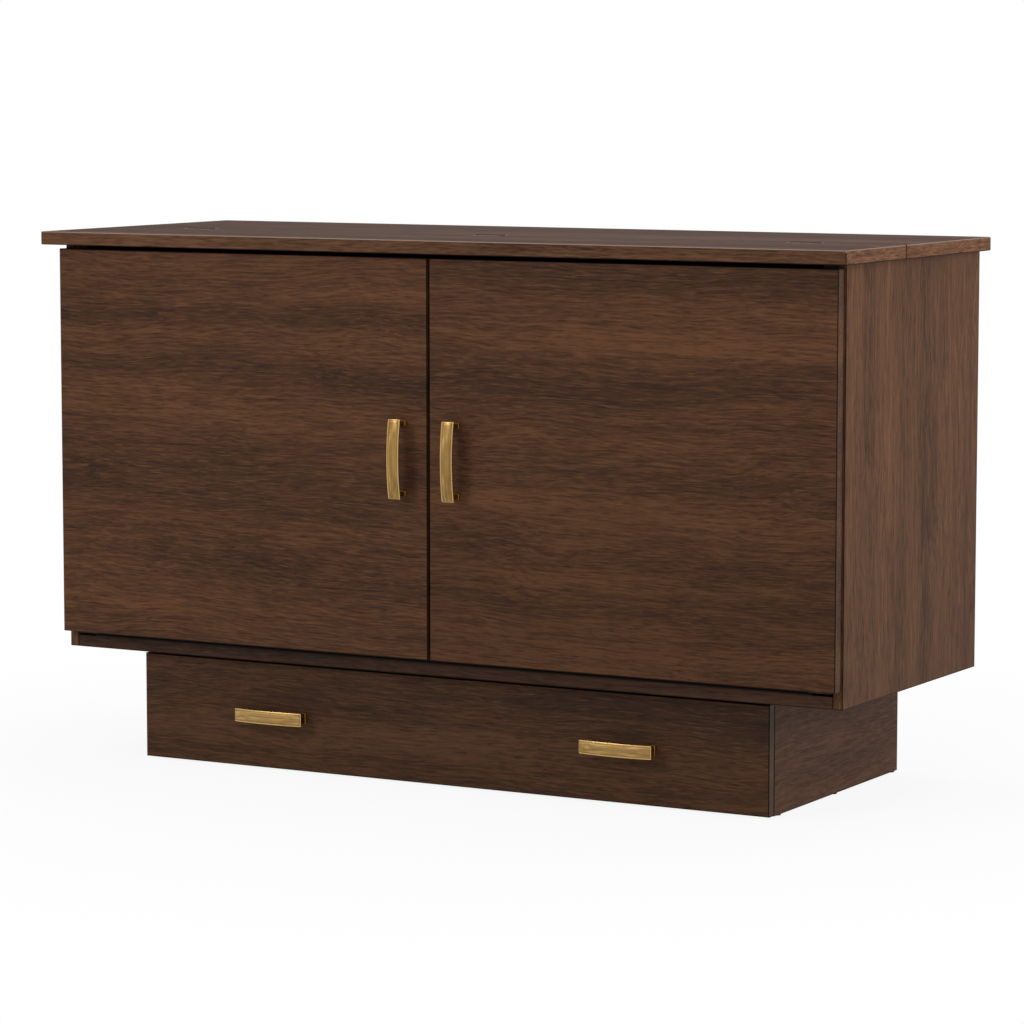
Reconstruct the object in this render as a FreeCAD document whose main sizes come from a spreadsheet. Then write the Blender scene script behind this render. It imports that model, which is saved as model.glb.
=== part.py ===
import FreeCAD, Part
import math
import os
import re
import Sketcher

# Cabinet bed, closed as in the photograph. Millimetres, +Z up.
# The front faces -Y. The origin is on the floor, under the middle of the closed piece.
# Inside the build, y = 0 is the plane of the carcass's front edges; ORIGIN shifts it at the end.

SIZES = [
    # carcass and top
    ("carcass_w", 1626, "outer width over the two side panels"),
    ("carcass_d", 590, "depth of the side panels"),
    ("base_h", 211, "height of the pedestal under the carcass"),
    ("overall_h", 1008, "floor to the top's upper surface"),
    ("side_thick", 19, "side panel"),
    ("floor_thick", 25, "carcass floor"),
    ("back_thick", 8, "back panel"),
    ("back_inset", 2, "back panel's distance in from the rear edges"),
    ("top_thick", 25, "top board, both leaves"),
    ("top_side_over", 22, "top beyond the side panels"),
    ("top_front_over", 24, "top beyond the faces"),
    ("seam_y", 203, "seam between the two leaves of the top"),
    ("seam_gap", 1, "gap in that seam"),
    ("edge_round", 2, "easing of the boards' edges"),
    ("board_fit", 0.3, "clearance of a board set between others"),
    # faces
    ("face_thick", 24, "each face"),
    ("face_gap", 3, "faces in front of the carcass edges"),
    ("face_inset", 3, "faces' outer edge in from the carcass side"),
    ("face_strip", 32, "carcass floor shown below the faces"),
    ("face_top_gap", 8, "shadow gap under the top"),
    ("centre_gap", 4.5, "gap between the two faces"),
    # hinge of the drop front
    ("knuckle_r", 2.5, "knuckle radius of the long hinge"),
    ("pin_fit", 0.1, "running clearance of a pin in its bore"),
    ("leaf_thick", 1.2, "hinge leaf"),
    ("leaf_w", 24, "hinge leaf, width"),
    ("hinge_sink", 3, "rebate for the long hinge"),
    ("hinge_inset", 40, "long hinge's ends in from the inner sides"),
    # deck behind the faces
    ("deck_thick", 38, "deck frame behind the carcass edges' plane"),
    ("slat_thick", 20, "all slats"),
    ("slat_side_fit", 15, "outermost interleaved slat to the stile"),
    ("slat_gap", 7, "gap between neighbouring interleaved slats"),
    ("stile_w", 40, "deck frame stile"),
    ("stile_fit", 5, "deck frame in from the carcass side"),
    ("frame_head_gap", 34, "deck frame's end below the top"),
    ("rail_low_w", 35, "deck rail beside the hinge"),
    ("rail_top_w", 22, "deck rail under the fixed slats' far ends"),
    ("foot_rail_w", 24, "moving foot rail"),
    ("foot_top_fit", 20, "foot rail's outer edge in from the frame's end"),
    ("slat_start", 6, "slats' ends from the hinge line"),
    ("slat_end_fit", 4, "fixed slats' ends from the foot rail"),
    ("rail_fit", 1.5, "sliding clearance of the foot deck"),
    ("strap_w", 12, "steel strap that ties the moving slats"),
    ("strap_thick", 4, "same strap, thickness"),
    # inner deck
    ("deck_start", 54, "first edge of the inner deck from the front plane"),
    ("inner_slat_w", 70, "inner deck slat"),
    ("inner_slat_side", 66, "outermost inner slats from the side panels"),
    ("bearer_w", 45, "bearer under the inner slats"),
    # mattress
    ("mat_side_gap", 32, "mattress to each side panel; leaves 1524 wide"),
    ("mat_head_gap", 27.9, "mattress below the top; leaves three times 677.3, a 2032 long mattress"),
    ("mat_back_gap", 48, "last section to the back panel; leaves sections 150 thick"),
    ("mat_start", 62, "first section's distance from the front plane"),
    ("mat_gap", 10, "between folded sections"),
    ("mat_round", 28, "mattress edge radius"),
    ("mat_rest", 0.3, "section above the slats"),
    # rail under the fixed leaf, corner blocks, catches
    ("top_rail_w", 70, "rail under the fixed leaf"),
    ("top_rail_thick", 19, "same rail"),
    ("block_w", 25, "corner block, across"),
    ("block_d", 60, "corner block, front to back"),
    ("block_h", 22, "corner block, high"),
    ("block_set", 2, "corner block behind the front plane"),
    ("bumper_r", 5, "rubber bumper"),
    ("bumper_low", 60, "lower bumpers above the carcass floor"),
    ("bumper_high", 60, "upper bumpers below the faces' top"),
    ("magnet_r", 4.5, "magnet in the corner block"),
    ("magnet_len", 14, "same magnet"),
    ("magnet_up", 5, "magnet above the block's lower side"),
    ("strike_r", 4.8, "strike disc on the face"),
    ("strike_thick", 1, "strike disc"),
    ("catch_air", 0.4, "magnet to strike disc, closed"),
    # lid hinges
    ("lid_knuckle_r", 2, "knuckle of a lid hinge"),
    ("lid_axis_up", 0.6, "lid hinge axis above the top's surface"),
    ("lid_leaf_w", 22, "leaf of a lid hinge"),
    ("lid_hinge_len", 60, "length of a lid hinge"),
    ("lid_hinge_x", 640, "outer lid hinges from the middle"),
    # pedestal
    ("base_side_set", 153.5, "pedestal in from the carcass side"),
    ("base_front_set", 29, "drawer front behind the carcass front plane"),
    ("base_board", 19, "pedestal board"),
    ("glide_r", 15, "floor glide"),
    ("glide_h", 3, "floor glide"),
    # drawer
    ("front_thick", 20, "drawer front"),
    ("front_low", 4, "drawer front above the floor"),
    ("front_top_gap", 7, "drawer front below the carcass"),
    ("front_back_gap", 2, "drawer front to the pedestal sides"),
    ("drawer_side_thick", 15, "drawer box board"),
    ("drawer_low", 28, "drawer box above the floor"),
    ("rest_gap", 5, "rest strips below the carcass"),
    ("drawer_over", 7, "drawer box longer than its runners"),
    ("drawer_back_gap", 6, "drawer box to the pedestal back"),
    ("drawer_floor_thick", 9, "drawer bottom"),
    ("groove_deep", 7, "groove for the drawer bottom"),
    ("groove_up", 10, "groove above the side's lower edge"),
    ("muntin_w", 70, "brace under the drawer bottom"),
    ("rest_h", 11, "rest strip on the drawer sides"),
    ("runner_w", 12.7, "runner set, overall width"),
    ("runner_h", 45, "runner, height"),
    ("runner_len", 508, "runner, length"),
    ("runner_up", 92, "runner's middle above the floor"),
    ("runner_fit", 0.3, "runner play"),
    ("runner_steel", 1.5, "runner sheet"),
    ("wheel_r", 16, "drawer support wheel"),
    ("wheel_w", 16, "same wheel"),
    ("wheel_x", 400, "wheel from the middle"),
    ("wheel_y", 70, "wheel behind the drawer front"),
    ("wheel_lift", 0.5, "wheel above the floor"),
    ("axle_r", 3, "wheel axle"),
    ("fork_d", 26, "wheel fork, front to back"),
    ("fork_thick", 2.5, "wheel fork, sheet"),
    ("fork_fit", 0.8, "wheel to fork"),
    # pulls
    ("pull_len", 146, "pull, end to end"),
    ("pull_w", 25, "pull's bar"),
    ("pull_thick", 4, "pull's bar"),
    ("pull_end_out", 24, "bar's ends, out from the board"),
    ("pull_mid_out", 34, "bar's middle, out from the board"),
    ("pull_posts", 128, "screw centres"),
    ("post_w", 20, "pull post, across the bar"),
    ("post_t", 10, "pull post, along the bar"),
    ("pull_x", 56, "face pulls from the middle"),
    ("pull_z", 611, "face pulls' middle above the floor"),
    ("drawer_pull_x", 367, "drawer pulls from the middle"),
    ("drawer_pull_z", 105, "drawer pulls above the floor"),
    ("screw_r", 2, "pull screw"),
    ("screw_head_r", 4.5, "pull screw's head"),
    ("screw_head_h", 2.5, "pull screw's head"),
    # foot legs, carried in the drawer
    ("leg_r", 20, "foot leg's head, half its width"),
    ("leg_tip_r", 14, "foot leg's lower end, half its width"),
    ("leg_len", 226, "foot leg"),
    ("leg_tip_h", 9, "rubber tip"),
    ("leg_x", 150, "stowed leg's head from the middle"),
    ("leg_back_gap", 49, "stowed legs to the drawer back"),
    ("stud_r", 4, "leg stud"),
    ("stud_len", 16, "leg stud"),
]

FIXED_SLATS = 12
MOVING_SLATS = 13
INNER_SLATS = 12

doc = FreeCAD.newDocument("cabinet_bed")
sheet = doc.addObject("Spreadsheet::Sheet", "dims")
sheet.set("A1", "size")
sheet.set("B1", "value")
sheet.set("C1", "meaning")
for row, (alias, value, meaning) in enumerate(SIZES, 2):
    sheet.set("A%d" % row, alias)
    sheet.set("B%d" % row, str(value))
    sheet.set("C%d" % row, meaning)
    sheet.setAlias("B%d" % row, alias)
doc.recompute()

NODES = []
PLACES = {}
ORIGIN = "(carcass_d - face_gap - face_thick - pull_mid_out)/2"

# Heights and planes that several pieces share, written once from the sizes.
CARCASS_TOP = "(overall_h - top_thick)"
FLOOR_TOP = "(base_h + floor_thick)"
AXIS_Z = "(base_h + floor_thick - hinge_sink + knuckle_r)"
IN_X = "(carcass_w/2 - side_thick)"
FACE_LOW = "(base_h + face_strip)"
FACE_HIGH = "(overall_h - top_thick - face_top_gap)"
FRAME_LOW = "(base_h + floor_thick - hinge_sink + 2*knuckle_r)"
FRAME_HIGH = "(overall_h - top_thick - frame_head_gap)"
FRAME_X = "(carcass_w/2 - side_thick - stile_fit)"
DECK_TOP = "(base_h + floor_thick - hinge_sink + knuckle_r + deck_thick)"
SLAT_LOW = "(base_h + floor_thick - hinge_sink + knuckle_r + slat_start)"
FOOT_HIGH = "(%s - foot_top_fit)" % FRAME_HIGH
FOOT_LOW = "(%s - foot_rail_w)" % FOOT_HIGH
BASE_X = "(carcass_w/2 - base_side_set)"
BASE_IN = "(carcass_w/2 - base_side_set - base_board)"
DRAWER_Y = "(base_front_set + front_thick)"
DRAWER_X = "(carcass_w/2 - base_side_set - base_board - runner_w)"
DRAWER_LEN = "(runner_len + drawer_over)"
DRAWER_HIGH = "(base_h - rest_gap - rest_h)"
DRAWER_END = "(base_front_set + front_thick + runner_len + drawer_over)"
BASE_BACK = "(%s + drawer_back_gap + base_board)" % DRAWER_END


def bind(text):
    """Expression text with each size read from the sheet."""
    return re.sub(r"[a-z_]+", lambda found: "dims." + found.group(0), text)


def number(text):
    """Value of an expression now, in millimetres."""
    got = sheet.evalExpression(bind(text))
    return float(getattr(got, "Value", got))


def put(thing, place):
    """Bind a thing's position."""
    PLACES[thing.Name] = place
    for axis, text in zip("xyz", place):
        thing.setExpression("Placement.Base." + axis, bind(text))
    return thing


def node(name, thing):
    """Name a finished piece and shift it to the part's own origin."""
    thing.Label = name
    x, y, z = PLACES.get(thing.Name, ("0", "0", "0"))
    thing.setExpression("Placement.Base.y", bind("%s - %s" % (y, ORIGIN)))
    NODES.append(thing)
    return thing


def block(name, size, place):
    """Box primitive with bound sizes and position."""
    thing = doc.addObject("Part::Box", name)
    for key, text in zip(("Length", "Width", "Height"), size):
        thing.setExpression(key, bind(text))
    return put(thing, place)


FEW = 12
TURNS = {
    "z": FreeCAD.Rotation(),
    "x": FreeCAD.Rotation(FreeCAD.Vector(0, 1, 0), 90),
    "y": FreeCAD.Rotation(FreeCAD.Vector(1, 0, 0), -90),
    "-y": FreeCAD.Rotation(FreeCAD.Vector(1, 0, 0), 90),
}


def rod(name, radius, length, place, along="z", sides=0):
    """Cylinder that runs along an axis from its place, or a prism where a small piece has `sides`."""
    thing = doc.addObject("Part::Prism" if sides else "Part::Cylinder", name)
    thing.Placement = FreeCAD.Placement(FreeCAD.Vector(), TURNS[along])
    if sides:
        thing.Polygon = sides
    thing.setExpression("Circumradius" if sides else "Radius", bind(radius))
    thing.setExpression("Height", bind(length))
    return put(thing, place)


def leg_shaft(name, turn, place):
    """Square leg that tapers from its head, at its place, to its tip."""
    thing = doc.addObject("Part::Wedge", name)
    thing.Placement = FreeCAD.Placement(
        FreeCAD.Vector(), FreeCAD.Rotation(FreeCAD.Vector(0, 0, 1), turn))
    thing.Ymin = 0
    thing.setExpression("Ymax", bind("leg_len"))
    for axis in "XZ":
        thing.setExpression(axis + "min", bind("-leg_r"))
        thing.setExpression(axis + "max", bind("leg_r"))
        thing.setExpression(axis + "2min", bind("-leg_tip_r"))
        thing.setExpression(axis + "2max", bind("leg_tip_r"))
    return put(thing, place)


def group(name, things):
    """Compound of the equal pieces that make one node."""
    thing = doc.addObject("Part::Compound", name)
    thing.Links = things
    return thing


def fuse(name, things):
    thing = doc.addObject("Part::MultiFuse", name)
    thing.Shapes = things
    thing.Refine = True
    return thing


def cut(name, base, tools):
    tool = tools[0] if len(tools) == 1 else group(name + "_tools", tools)
    thing = doc.addObject("Part::Cut", name)
    thing.Base = base
    thing.Tool = tool
    thing.Refine = True
    return thing


def plane_of(body, role):
    for feature in body.Origin.OriginFeatures:
        if feature.Role == role:
            return feature
    raise RuntimeError("no plane " + role)


def outline(body, name, role, points):
    """Closed sketch through points whose distances from the origin are bound."""
    sketch = body.newObject("Sketcher::SketchObject", name)
    sketch.AttachmentSupport = [(plane_of(body, role), "")]
    sketch.MapMode = "FlatFace"
    spots = [FreeCAD.Vector(number(u), number(v), 0) for u, v in points]
    count = len(spots)
    for index in range(count):
        line = Part.LineSegment(spots[index], spots[(index + 1) % count])
        sketch.addGeometry(line, False)
    for index in range(count):
        following = (index + 1) % count
        sketch.addConstraint(Sketcher.Constraint("Coincident", index, 2, following, 1))
    for index, (u, v) in enumerate(points):
        for kind, text, value in (("DistanceX", u, spots[index].x), ("DistanceY", v, spots[index].y)):
            if text == "0":
                axis = -2 if kind == "DistanceX" else -1
                sketch.addConstraint(Sketcher.Constraint("PointOnObject", index, 1, axis))
            else:
                made = sketch.addConstraint(Sketcher.Constraint(kind, -1, 1, index, 1, value))
                label = "%s%d" % (kind[-1].lower() + "_at_", index)
                sketch.renameConstraint(made, label)
                sketch.setExpression("Constraints." + label, bind(text))
    return sketch


def board(name, role, points, length, place, ease=None, pick=None):
    """Padded profile; `pick` chooses the edges that get the easing `ease`."""
    body = doc.addObject("PartDesign::Body", name)
    sketch = outline(body, name + "_profile", role, points)
    pad = body.newObject("PartDesign::Pad", name + "_pad")
    pad.Profile = sketch
    pad.setExpression("Length", bind(length))
    pad.Reversed = role == "XZ_Plane"
    sketch.Visibility = False
    put(body, place)
    if ease:
        doc.recompute()
        names = []
        for index, edge in enumerate(pad.Shape.Edges, 1):
            if pick(edge, pad.Shape.BoundBox):
                names.append("Edge%d" % index)
        round_ = body.newObject("PartDesign::Fillet", name + "_easing")
        round_.Base = (pad, names)
        round_.setExpression("Radius", bind(ease))
    return body


def rectangle(u, v):
    return [("0", "0"), (u, "0"), (u, v), ("0", v)]


def on_front(edge, box):
    """Edges that lie in the front plane of the piece."""
    return abs(edge.BoundBox.YMin - box.YMin) < 1e-4 and abs(edge.BoundBox.YMax - box.YMin) < 1e-4


def not_on_back(edge, box):
    return not (abs(edge.BoundBox.YMin - box.YMax) < 1e-4)


def all_edges(edge, box):
    return True


def upright_front(edge, box):
    tall = edge.BoundBox.ZLength > 0.9*box.ZLength
    return tall and abs(edge.BoundBox.YMax - box.YMin) < 1e-4


def panel(name, size, place, ease=None, pick=None):
    """Flat board: plan rectangle padded upwards."""
    return board(name, "XY_Plane", rectangle(size[0], size[1]), size[2], place, ease, pick)


# ---------------------------------------------------------------- carcass
SIDE_H = "%s - base_h" % CARCASS_TOP
for side, x in (("left", "-carcass_w/2"), ("right", "carcass_w/2 - side_thick")):
    # The rear inner edge is rebated for the back panel.
    deep = "carcass_d - back_thick - back_inset"
    if side == "left":
        points = [
            ("0", "0"), ("side_thick", "0"), ("side_thick", deep),
            ("side_thick/2", deep), ("side_thick/2", "carcass_d"), ("0", "carcass_d"),
        ]
    else:
        points = [
            ("0", "0"), ("side_thick", "0"), ("side_thick", "carcass_d"),
            ("side_thick/2", "carcass_d"), ("side_thick/2", deep), ("0", deep),
        ]
    name = "side_panel_" + side
    node(name, board(name, "XY_Plane", points, SIDE_H, (x, "0", "base_h"), "edge_round/2", upright_front))

# Carcass floor with the rebate that the long hinge sits in.
floor_points = [
    ("0", "0"), ("carcass_d - back_thick - back_inset", "0"),
    ("carcass_d - back_thick - back_inset", "floor_thick"),
    ("leaf_w + knuckle_r + hinge_sink", "floor_thick"),
    ("leaf_w + knuckle_r + hinge_sink", "floor_thick - hinge_sink"),
    ("0", "floor_thick - hinge_sink"),
]
node("carcass_floor", board(
    "carcass_floor", "YZ_Plane", floor_points, "2*%s" % IN_X, ("-%s" % IN_X, "0", "base_h")))

back_y = "carcass_d - back_thick - back_inset"
node("back_panel", panel(
    "back_panel",
    ("2*%s + side_thick - 2*board_fit" % IN_X, "back_thick", "%s - base_h - board_fit" % CARCASS_TOP),
    ("-(%s + side_thick/2 - board_fit)" % IN_X, back_y, "base_h")))

# ---------------------------------------------------------------- top
TOP_X = "(carcass_w/2 + top_side_over)"
TOP_FRONT = "(face_gap + face_thick + top_front_over)"


def hinge_spots():
    return (("left", "-lid_hinge_x"), ("middle", "0"), ("right", "lid_hinge_x"))


def lid_leaf_recesses(tag, y, width):
    cuts = []
    for where, x in hinge_spots():
        cuts.append(block(
            "recess_%s_%s" % (tag, where),
            ("lid_hinge_len", width, "leaf_thick + 1"),
            ("%s - lid_hinge_len/2" % x, y, "overall_h - leaf_thick")))
        cuts.append(block(
            "knuckle_bed_%s_%s" % (tag, where),
            ("lid_hinge_len", "lid_knuckle_r + seam_gap", "lid_knuckle_r + 1"),
            ("%s - lid_hinge_len/2" % x,
             "seam_y" if tag == "rear" else "seam_y - lid_knuckle_r - seam_gap",
             "overall_h - lid_knuckle_r")))
    return cuts


lid_board = panel(
    "lid_board",
    ("2*%s" % TOP_X, "%s + seam_y - seam_gap/2" % TOP_FRONT, "top_thick"),
    ("-%s" % TOP_X, "-%s" % TOP_FRONT, CARCASS_TOP), "edge_round", not_on_back)
node("lid_panel", cut("lid_panel", lid_board, lid_leaf_recesses(
    "front", "seam_y - lid_leaf_w", "lid_leaf_w")))


def not_on_seam(edge, box):
    return not (abs(edge.BoundBox.YMax - box.YMin) < 1e-4)


rear_board = panel(
    "rear_board",
    ("2*%s" % TOP_X, "carcass_d - seam_y - seam_gap/2", "top_thick"),
    ("-%s" % TOP_X, "seam_y + seam_gap/2", CARCASS_TOP), "edge_round", not_on_seam)
node("top_rear", cut("top_rear", rear_board, lid_leaf_recesses("rear", "seam_y", "lid_leaf_w")))

# Lid hinges: the middle knuckle belongs to the lid's leaf, the outer two and the pin to the other.
LID_AXIS = "(overall_h + lid_axis_up)"
front_leaves = []
rear_leaves = []
for where, x in hinge_spots():
    third = "lid_hinge_len/3"
    flap = block(
        "front_flap_" + where,
        ("lid_hinge_len - 0.6", "lid_leaf_w - 0.3", "leaf_thick"),
        ("%s - lid_hinge_len/2 + 0.3" % x, "seam_y - lid_leaf_w + 0.3", "overall_h - leaf_thick"))
    gap_left = block(
        "front_gap_l_" + where,
        ("%s + 0.3" % third, "lid_knuckle_r + 0.4", "leaf_thick + 1"),
        ("%s - lid_hinge_len/2" % x, "seam_y - lid_knuckle_r - 0.3", "overall_h - leaf_thick - 0.5"))
    gap_right = block(
        "front_gap_r_" + where,
        ("%s + 0.3" % third, "lid_knuckle_r + 0.4", "leaf_thick + 1"),
        ("%s + lid_hinge_len/6 - 0.3" % x, "seam_y - lid_knuckle_r - 0.3", "overall_h - leaf_thick - 0.5"))
    barrel = rod(
        "front_barrel_" + where, "lid_knuckle_r", "%s - 0.6" % third,
        ("%s - lid_hinge_len/6 + 0.3" % x, "seam_y", LID_AXIS), "x")
    leaf = cut("front_leaf_" + where, flap, [gap_left, gap_right])
    hole = rod(
        "front_bore_" + where, "lid_knuckle_r/2 + pin_fit", "lid_hinge_len",
        ("%s - lid_hinge_len/2" % x, "seam_y", LID_AXIS), "x")
    front_leaves.append(cut(
        "front_hinge_half_" + where, fuse("front_hinge_solid_" + where, [leaf, barrel]), [hole]))
    flap = block(
        "rear_flap_" + where,
        ("lid_hinge_len - 0.6", "lid_leaf_w - 0.3", "leaf_thick"),
        ("%s - lid_hinge_len/2 + 0.3" % x, "seam_y", "overall_h - leaf_thick"))
    gap_middle = block(
        "rear_gap_" + where,
        ("%s + 0.6" % third, "lid_knuckle_r + 0.3", "leaf_thick + 1"),
        ("%s - lid_hinge_len/6 - 0.3" % x, "seam_y - 0.1", "overall_h - leaf_thick - 0.5"))
    leaf = cut("rear_leaf_" + where, flap, [gap_middle])
    ends = []
    for tag, shift in (("a", "- lid_hinge_len/2 + 0.3"), ("b", "+ lid_hinge_len/6 + 0.3")):
        ends.append(rod(
            "rear_barrel_%s_%s" % (tag, where), "lid_knuckle_r", "%s - 0.6" % third,
            ("%s %s" % (x, shift), "seam_y", LID_AXIS), "x"))
    pin = rod(
        "rear_pin_" + where, "lid_knuckle_r/2", "lid_hinge_len - 0.6",
        ("%s - lid_hinge_len/2 + 0.3" % x, "seam_y", LID_AXIS), "x")
    rear_leaves.append(fuse("rear_hinge_half_" + where, [leaf, pin] + ends))
node("lid_hinge_front_leaves", group("lid_hinge_front_leaves", front_leaves))
node("lid_hinge_rear_leaves", group("lid_hinge_rear_leaves", rear_leaves))

# Rail that carries the fixed leaf, between the sides.
node("top_rail", panel(
    "top_rail", ("2*%s - 2*board_fit" % IN_X, "top_rail_w", "top_rail_thick"),
    ("-%s + board_fit" % IN_X, "seam_y + seam_gap", "%s - top_rail_thick" % CARCASS_TOP)))

# Corner blocks behind the top corners of the faces, each with a magnet in its front.
BLOCK_LOW = "(%s - block_h)" % CARCASS_TOP
MAGNET_Z = "(%s + magnet_up)" % BLOCK_LOW
MAGNET_FRONT = "(strike_thick + catch_air - face_gap)"
corner_blocks = []
magnets = []
strikes = []
for side, x in (("left", "-%s" % IN_X), ("right", "%s - block_w" % IN_X)):
    raw = panel(
        "corner_block_" + side, ("block_w", "block_d", "block_h"), (x, "block_set", BLOCK_LOW))
    socket = rod(
        "magnet_socket_" + side, "magnet_r", "magnet_len + block_d",
        ("%s + block_w/2" % x, "%s - block_d" % MAGNET_FRONT, MAGNET_Z), "y", FEW)
    corner_blocks.append(cut("corner_block_cut_" + side, raw, [socket]))
    magnets.append(rod(
        "magnet_" + side, "magnet_r", "magnet_len",
        ("%s + block_w/2" % x, MAGNET_FRONT, MAGNET_Z), "y", FEW))
    strikes.append(rod(
        "strike_" + side, "strike_r", "strike_thick",
        ("%s + block_w/2" % x, "-face_gap", MAGNET_Z), "y", FEW))
node("corner_blocks", group("corner_blocks", corner_blocks))
node("catch_magnets", group("catch_magnets", magnets))
node("strike_discs", group("strike_discs", strikes))

# Rubber bumpers on the side panels' front edges.
bumpers = []
for side, x in (("left", "-(carcass_w - side_thick)/2"), ("right", "(carcass_w - side_thick)/2")):
    for level, z in (
            ("low", "%s + bumper_low" % FLOOR_TOP), ("high", "%s - bumper_high" % FACE_HIGH)):
        bumpers.append(rod(
            "bumper_%s_%s" % (level, side), "bumper_r", "face_gap - board_fit", (x, "0", z), "-y", FEW))
node("face_bumpers", group("face_bumpers", bumpers))

# ---------------------------------------------------------------- faces and their pulls
FACE_W = "(carcass_w/2 - face_inset - centre_gap/2)"
FACE_FRONT = "(face_gap + face_thick)"


def arched_bar(name, along, middle, front):
    """Flat bar bowed outwards, cut from a ring; `front` is the board's outer plane."""
    rise = "(pull_mid_out - pull_end_out)"
    bow = "(((pull_len/2)^2 + %s^2)/(2*%s))" % (rise, rise)
    x, z = middle
    centre = "%s - pull_mid_out + %s" % (front, bow)
    rings = []
    for tag, radius, extra in (("outer", bow, "0"), ("inner", "(%s - pull_thick)" % bow, "1")):
        if along == "z":
            place = ("%s - pull_w/2 - %s" % (x, extra), centre, z)
            rings.append(rod(name + "_" + tag, radius, "pull_w + 2*%s" % extra, place, "x"))
        else:
            place = (x, centre, "%s - pull_w/2 - %s" % (z, extra))
            rings.append(rod(name + "_" + tag, radius, "pull_w + 2*%s" % extra, place, "z"))
    ring = cut(name + "_ring", rings[0], [rings[1]])
    if along == "z":
        size = ("2*pull_w", "pull_mid_out + pull_thick", "pull_len")
        place = ("%s - pull_w" % x, "%s - pull_mid_out - pull_thick" % front, "%s - pull_len/2" % z)
    else:
        size = ("pull_len", "pull_mid_out + pull_thick", "2*pull_w")
        place = ("%s - pull_len/2" % x, "%s - pull_mid_out - pull_thick" % front, "%s - pull_w" % z)
    window = block(name + "_window", size, place)
    bar = doc.addObject("Part::Common", name + "_bar")
    bar.Base = ring
    bar.Tool = window
    return bar


def pull(name, along, middle, front):
    """Bowed bar on two posts, each post bored for its screw."""
    x, z = middle
    bar = arched_bar(name, along, middle, front)
    posts = []
    bores = []
    for tag, sign in (("a", "-"), ("b", "+")):
        if along == "z":
            spot = (x, front, "%s %s pull_posts/2" % (z, sign))
            wide, high = "post_w", "post_t"
        else:
            spot = ("%s %s pull_posts/2" % (x, sign), front, z)
            wide, high = "post_t", "post_w"
        posts.append(block(
            name + "_post_" + tag, (wide, "pull_end_out", high),
            ("%s - %s/2" % (spot[0], wide), "%s - pull_end_out" % front, "%s - %s/2" % (spot[2], high))))
        bores.append(rod(name + "_bore_" + tag, "screw_r + 0.1", "pull_end_out/2", spot, "-y", FEW))
    return node(name, cut(name, fuse(name + "_solid", [bar] + posts), bores))


def pull_screws(name, spots, inner, thickness):
    """Screws from the board's inner plane into the posts."""
    made = []
    for index, (x, z) in enumerate(spots):
        head = rod(
            "%s_head_%d" % (name, index), "screw_head_r", "screw_head_h",
            (x, inner, z), "y", FEW)
        shank = rod(
            "%s_shank_%d" % (name, index), "screw_r", "%s + pull_end_out/2 - 2" % thickness,
            (x, inner, z), "-y", FEW)
        made.append(fuse("%s_screw_%d" % (name, index), [head, shank]))
    return made


face_screw_spots = {
    side: [(x, "pull_z - pull_posts/2"), (x, "pull_z + pull_posts/2")]
    for side, x in (("left", "-pull_x"), ("right", "pull_x"))
}
front_screws = []
for side, x in (
        ("left", "-(carcass_w/2 - face_inset)"), ("right", "centre_gap/2")):
    name = "door_face_" + side
    raw = panel(
        name + "_board", (FACE_W, "face_thick", "%s - %s" % (FACE_HIGH, FACE_LOW)),
        (x, "-%s" % FACE_FRONT, FACE_LOW), "edge_round", on_front)
    holes = [
        rod("%s_hole_%d" % (name, index), "screw_r + 0.1", "face_thick + 4",
            (sx, "-%s - 2" % FACE_FRONT, sz), "y", FEW)
        for index, (sx, sz) in enumerate(face_screw_spots[side])
    ]
    node(name, cut(name, raw, holes))
    pull("front_pull_" + side, "z", (face_screw_spots[side][0][0], "pull_z"), "-%s" % FACE_FRONT)
    front_screws += pull_screws("face_" + side, face_screw_spots[side], "-face_gap", "face_thick")
node("front_pull_screws", group("front_pull_screws", front_screws))

# ---------------------------------------------------------------- deck frame behind the faces
FRAME_DEEP = "(face_gap + deck_thick)"
RAIL_DEEP = "(face_gap + deck_thick - slat_thick)"
SLAT_Y = "(deck_thick - slat_thick)"
INNER_W = "(%s - stile_w)" % FRAME_X
for side, x in (("left", "-%s" % FRAME_X), ("right", "%s - stile_w" % FRAME_X)):
    node("front_stile_" + side, panel(
        "front_stile_" + side, ("stile_w", FRAME_DEEP, "%s - %s" % (FRAME_HIGH, FRAME_LOW)),
        (x, "-face_gap", FRAME_LOW)))
node("front_rail_low", panel(
    "front_rail_low", ("2*%s" % INNER_W, RAIL_DEEP, "rail_low_w"),
    ("-%s" % INNER_W, "-face_gap", FRAME_LOW)))
FIXED_TOP = "(%s - slat_end_fit)" % FOOT_LOW
node("front_rail_top", panel(
    "front_rail_top", ("2*%s" % INNER_W, RAIL_DEEP, "rail_top_w"),
    ("-%s" % INNER_W, "-face_gap", "%s - rail_top_w" % FIXED_TOP)))

SLATS = FIXED_SLATS + MOVING_SLATS
SLAT_W = "((2*(%s - slat_side_fit) - %d*slat_gap)/%d)" % (INNER_W, SLATS - 1, SLATS)
PITCH = "(%s + slat_gap)" % SLAT_W
fixed_slats = []
moving_slats = []
for index in range(SLATS):
    shift = 2*index - (SLATS - 1)
    x = "%d*%s/2 - %s/2" % (shift, PITCH, SLAT_W)
    if index % 2:
        fixed_slats.append(block(
            "fixed_slat_%d" % index, (SLAT_W, "slat_thick", "%s - %s" % (FIXED_TOP, SLAT_LOW)),
            (x, SLAT_Y, SLAT_LOW)))
    else:
        moving_slats.append(block(
            "moving_slat_%d" % index, (SLAT_W, "slat_thick", "%s - %s" % (FOOT_LOW, SLAT_LOW)),
            (x, SLAT_Y, SLAT_LOW)))
node("front_slats", group("front_slats", fixed_slats))
node("foot_slats", group("foot_slats", moving_slats))
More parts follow.
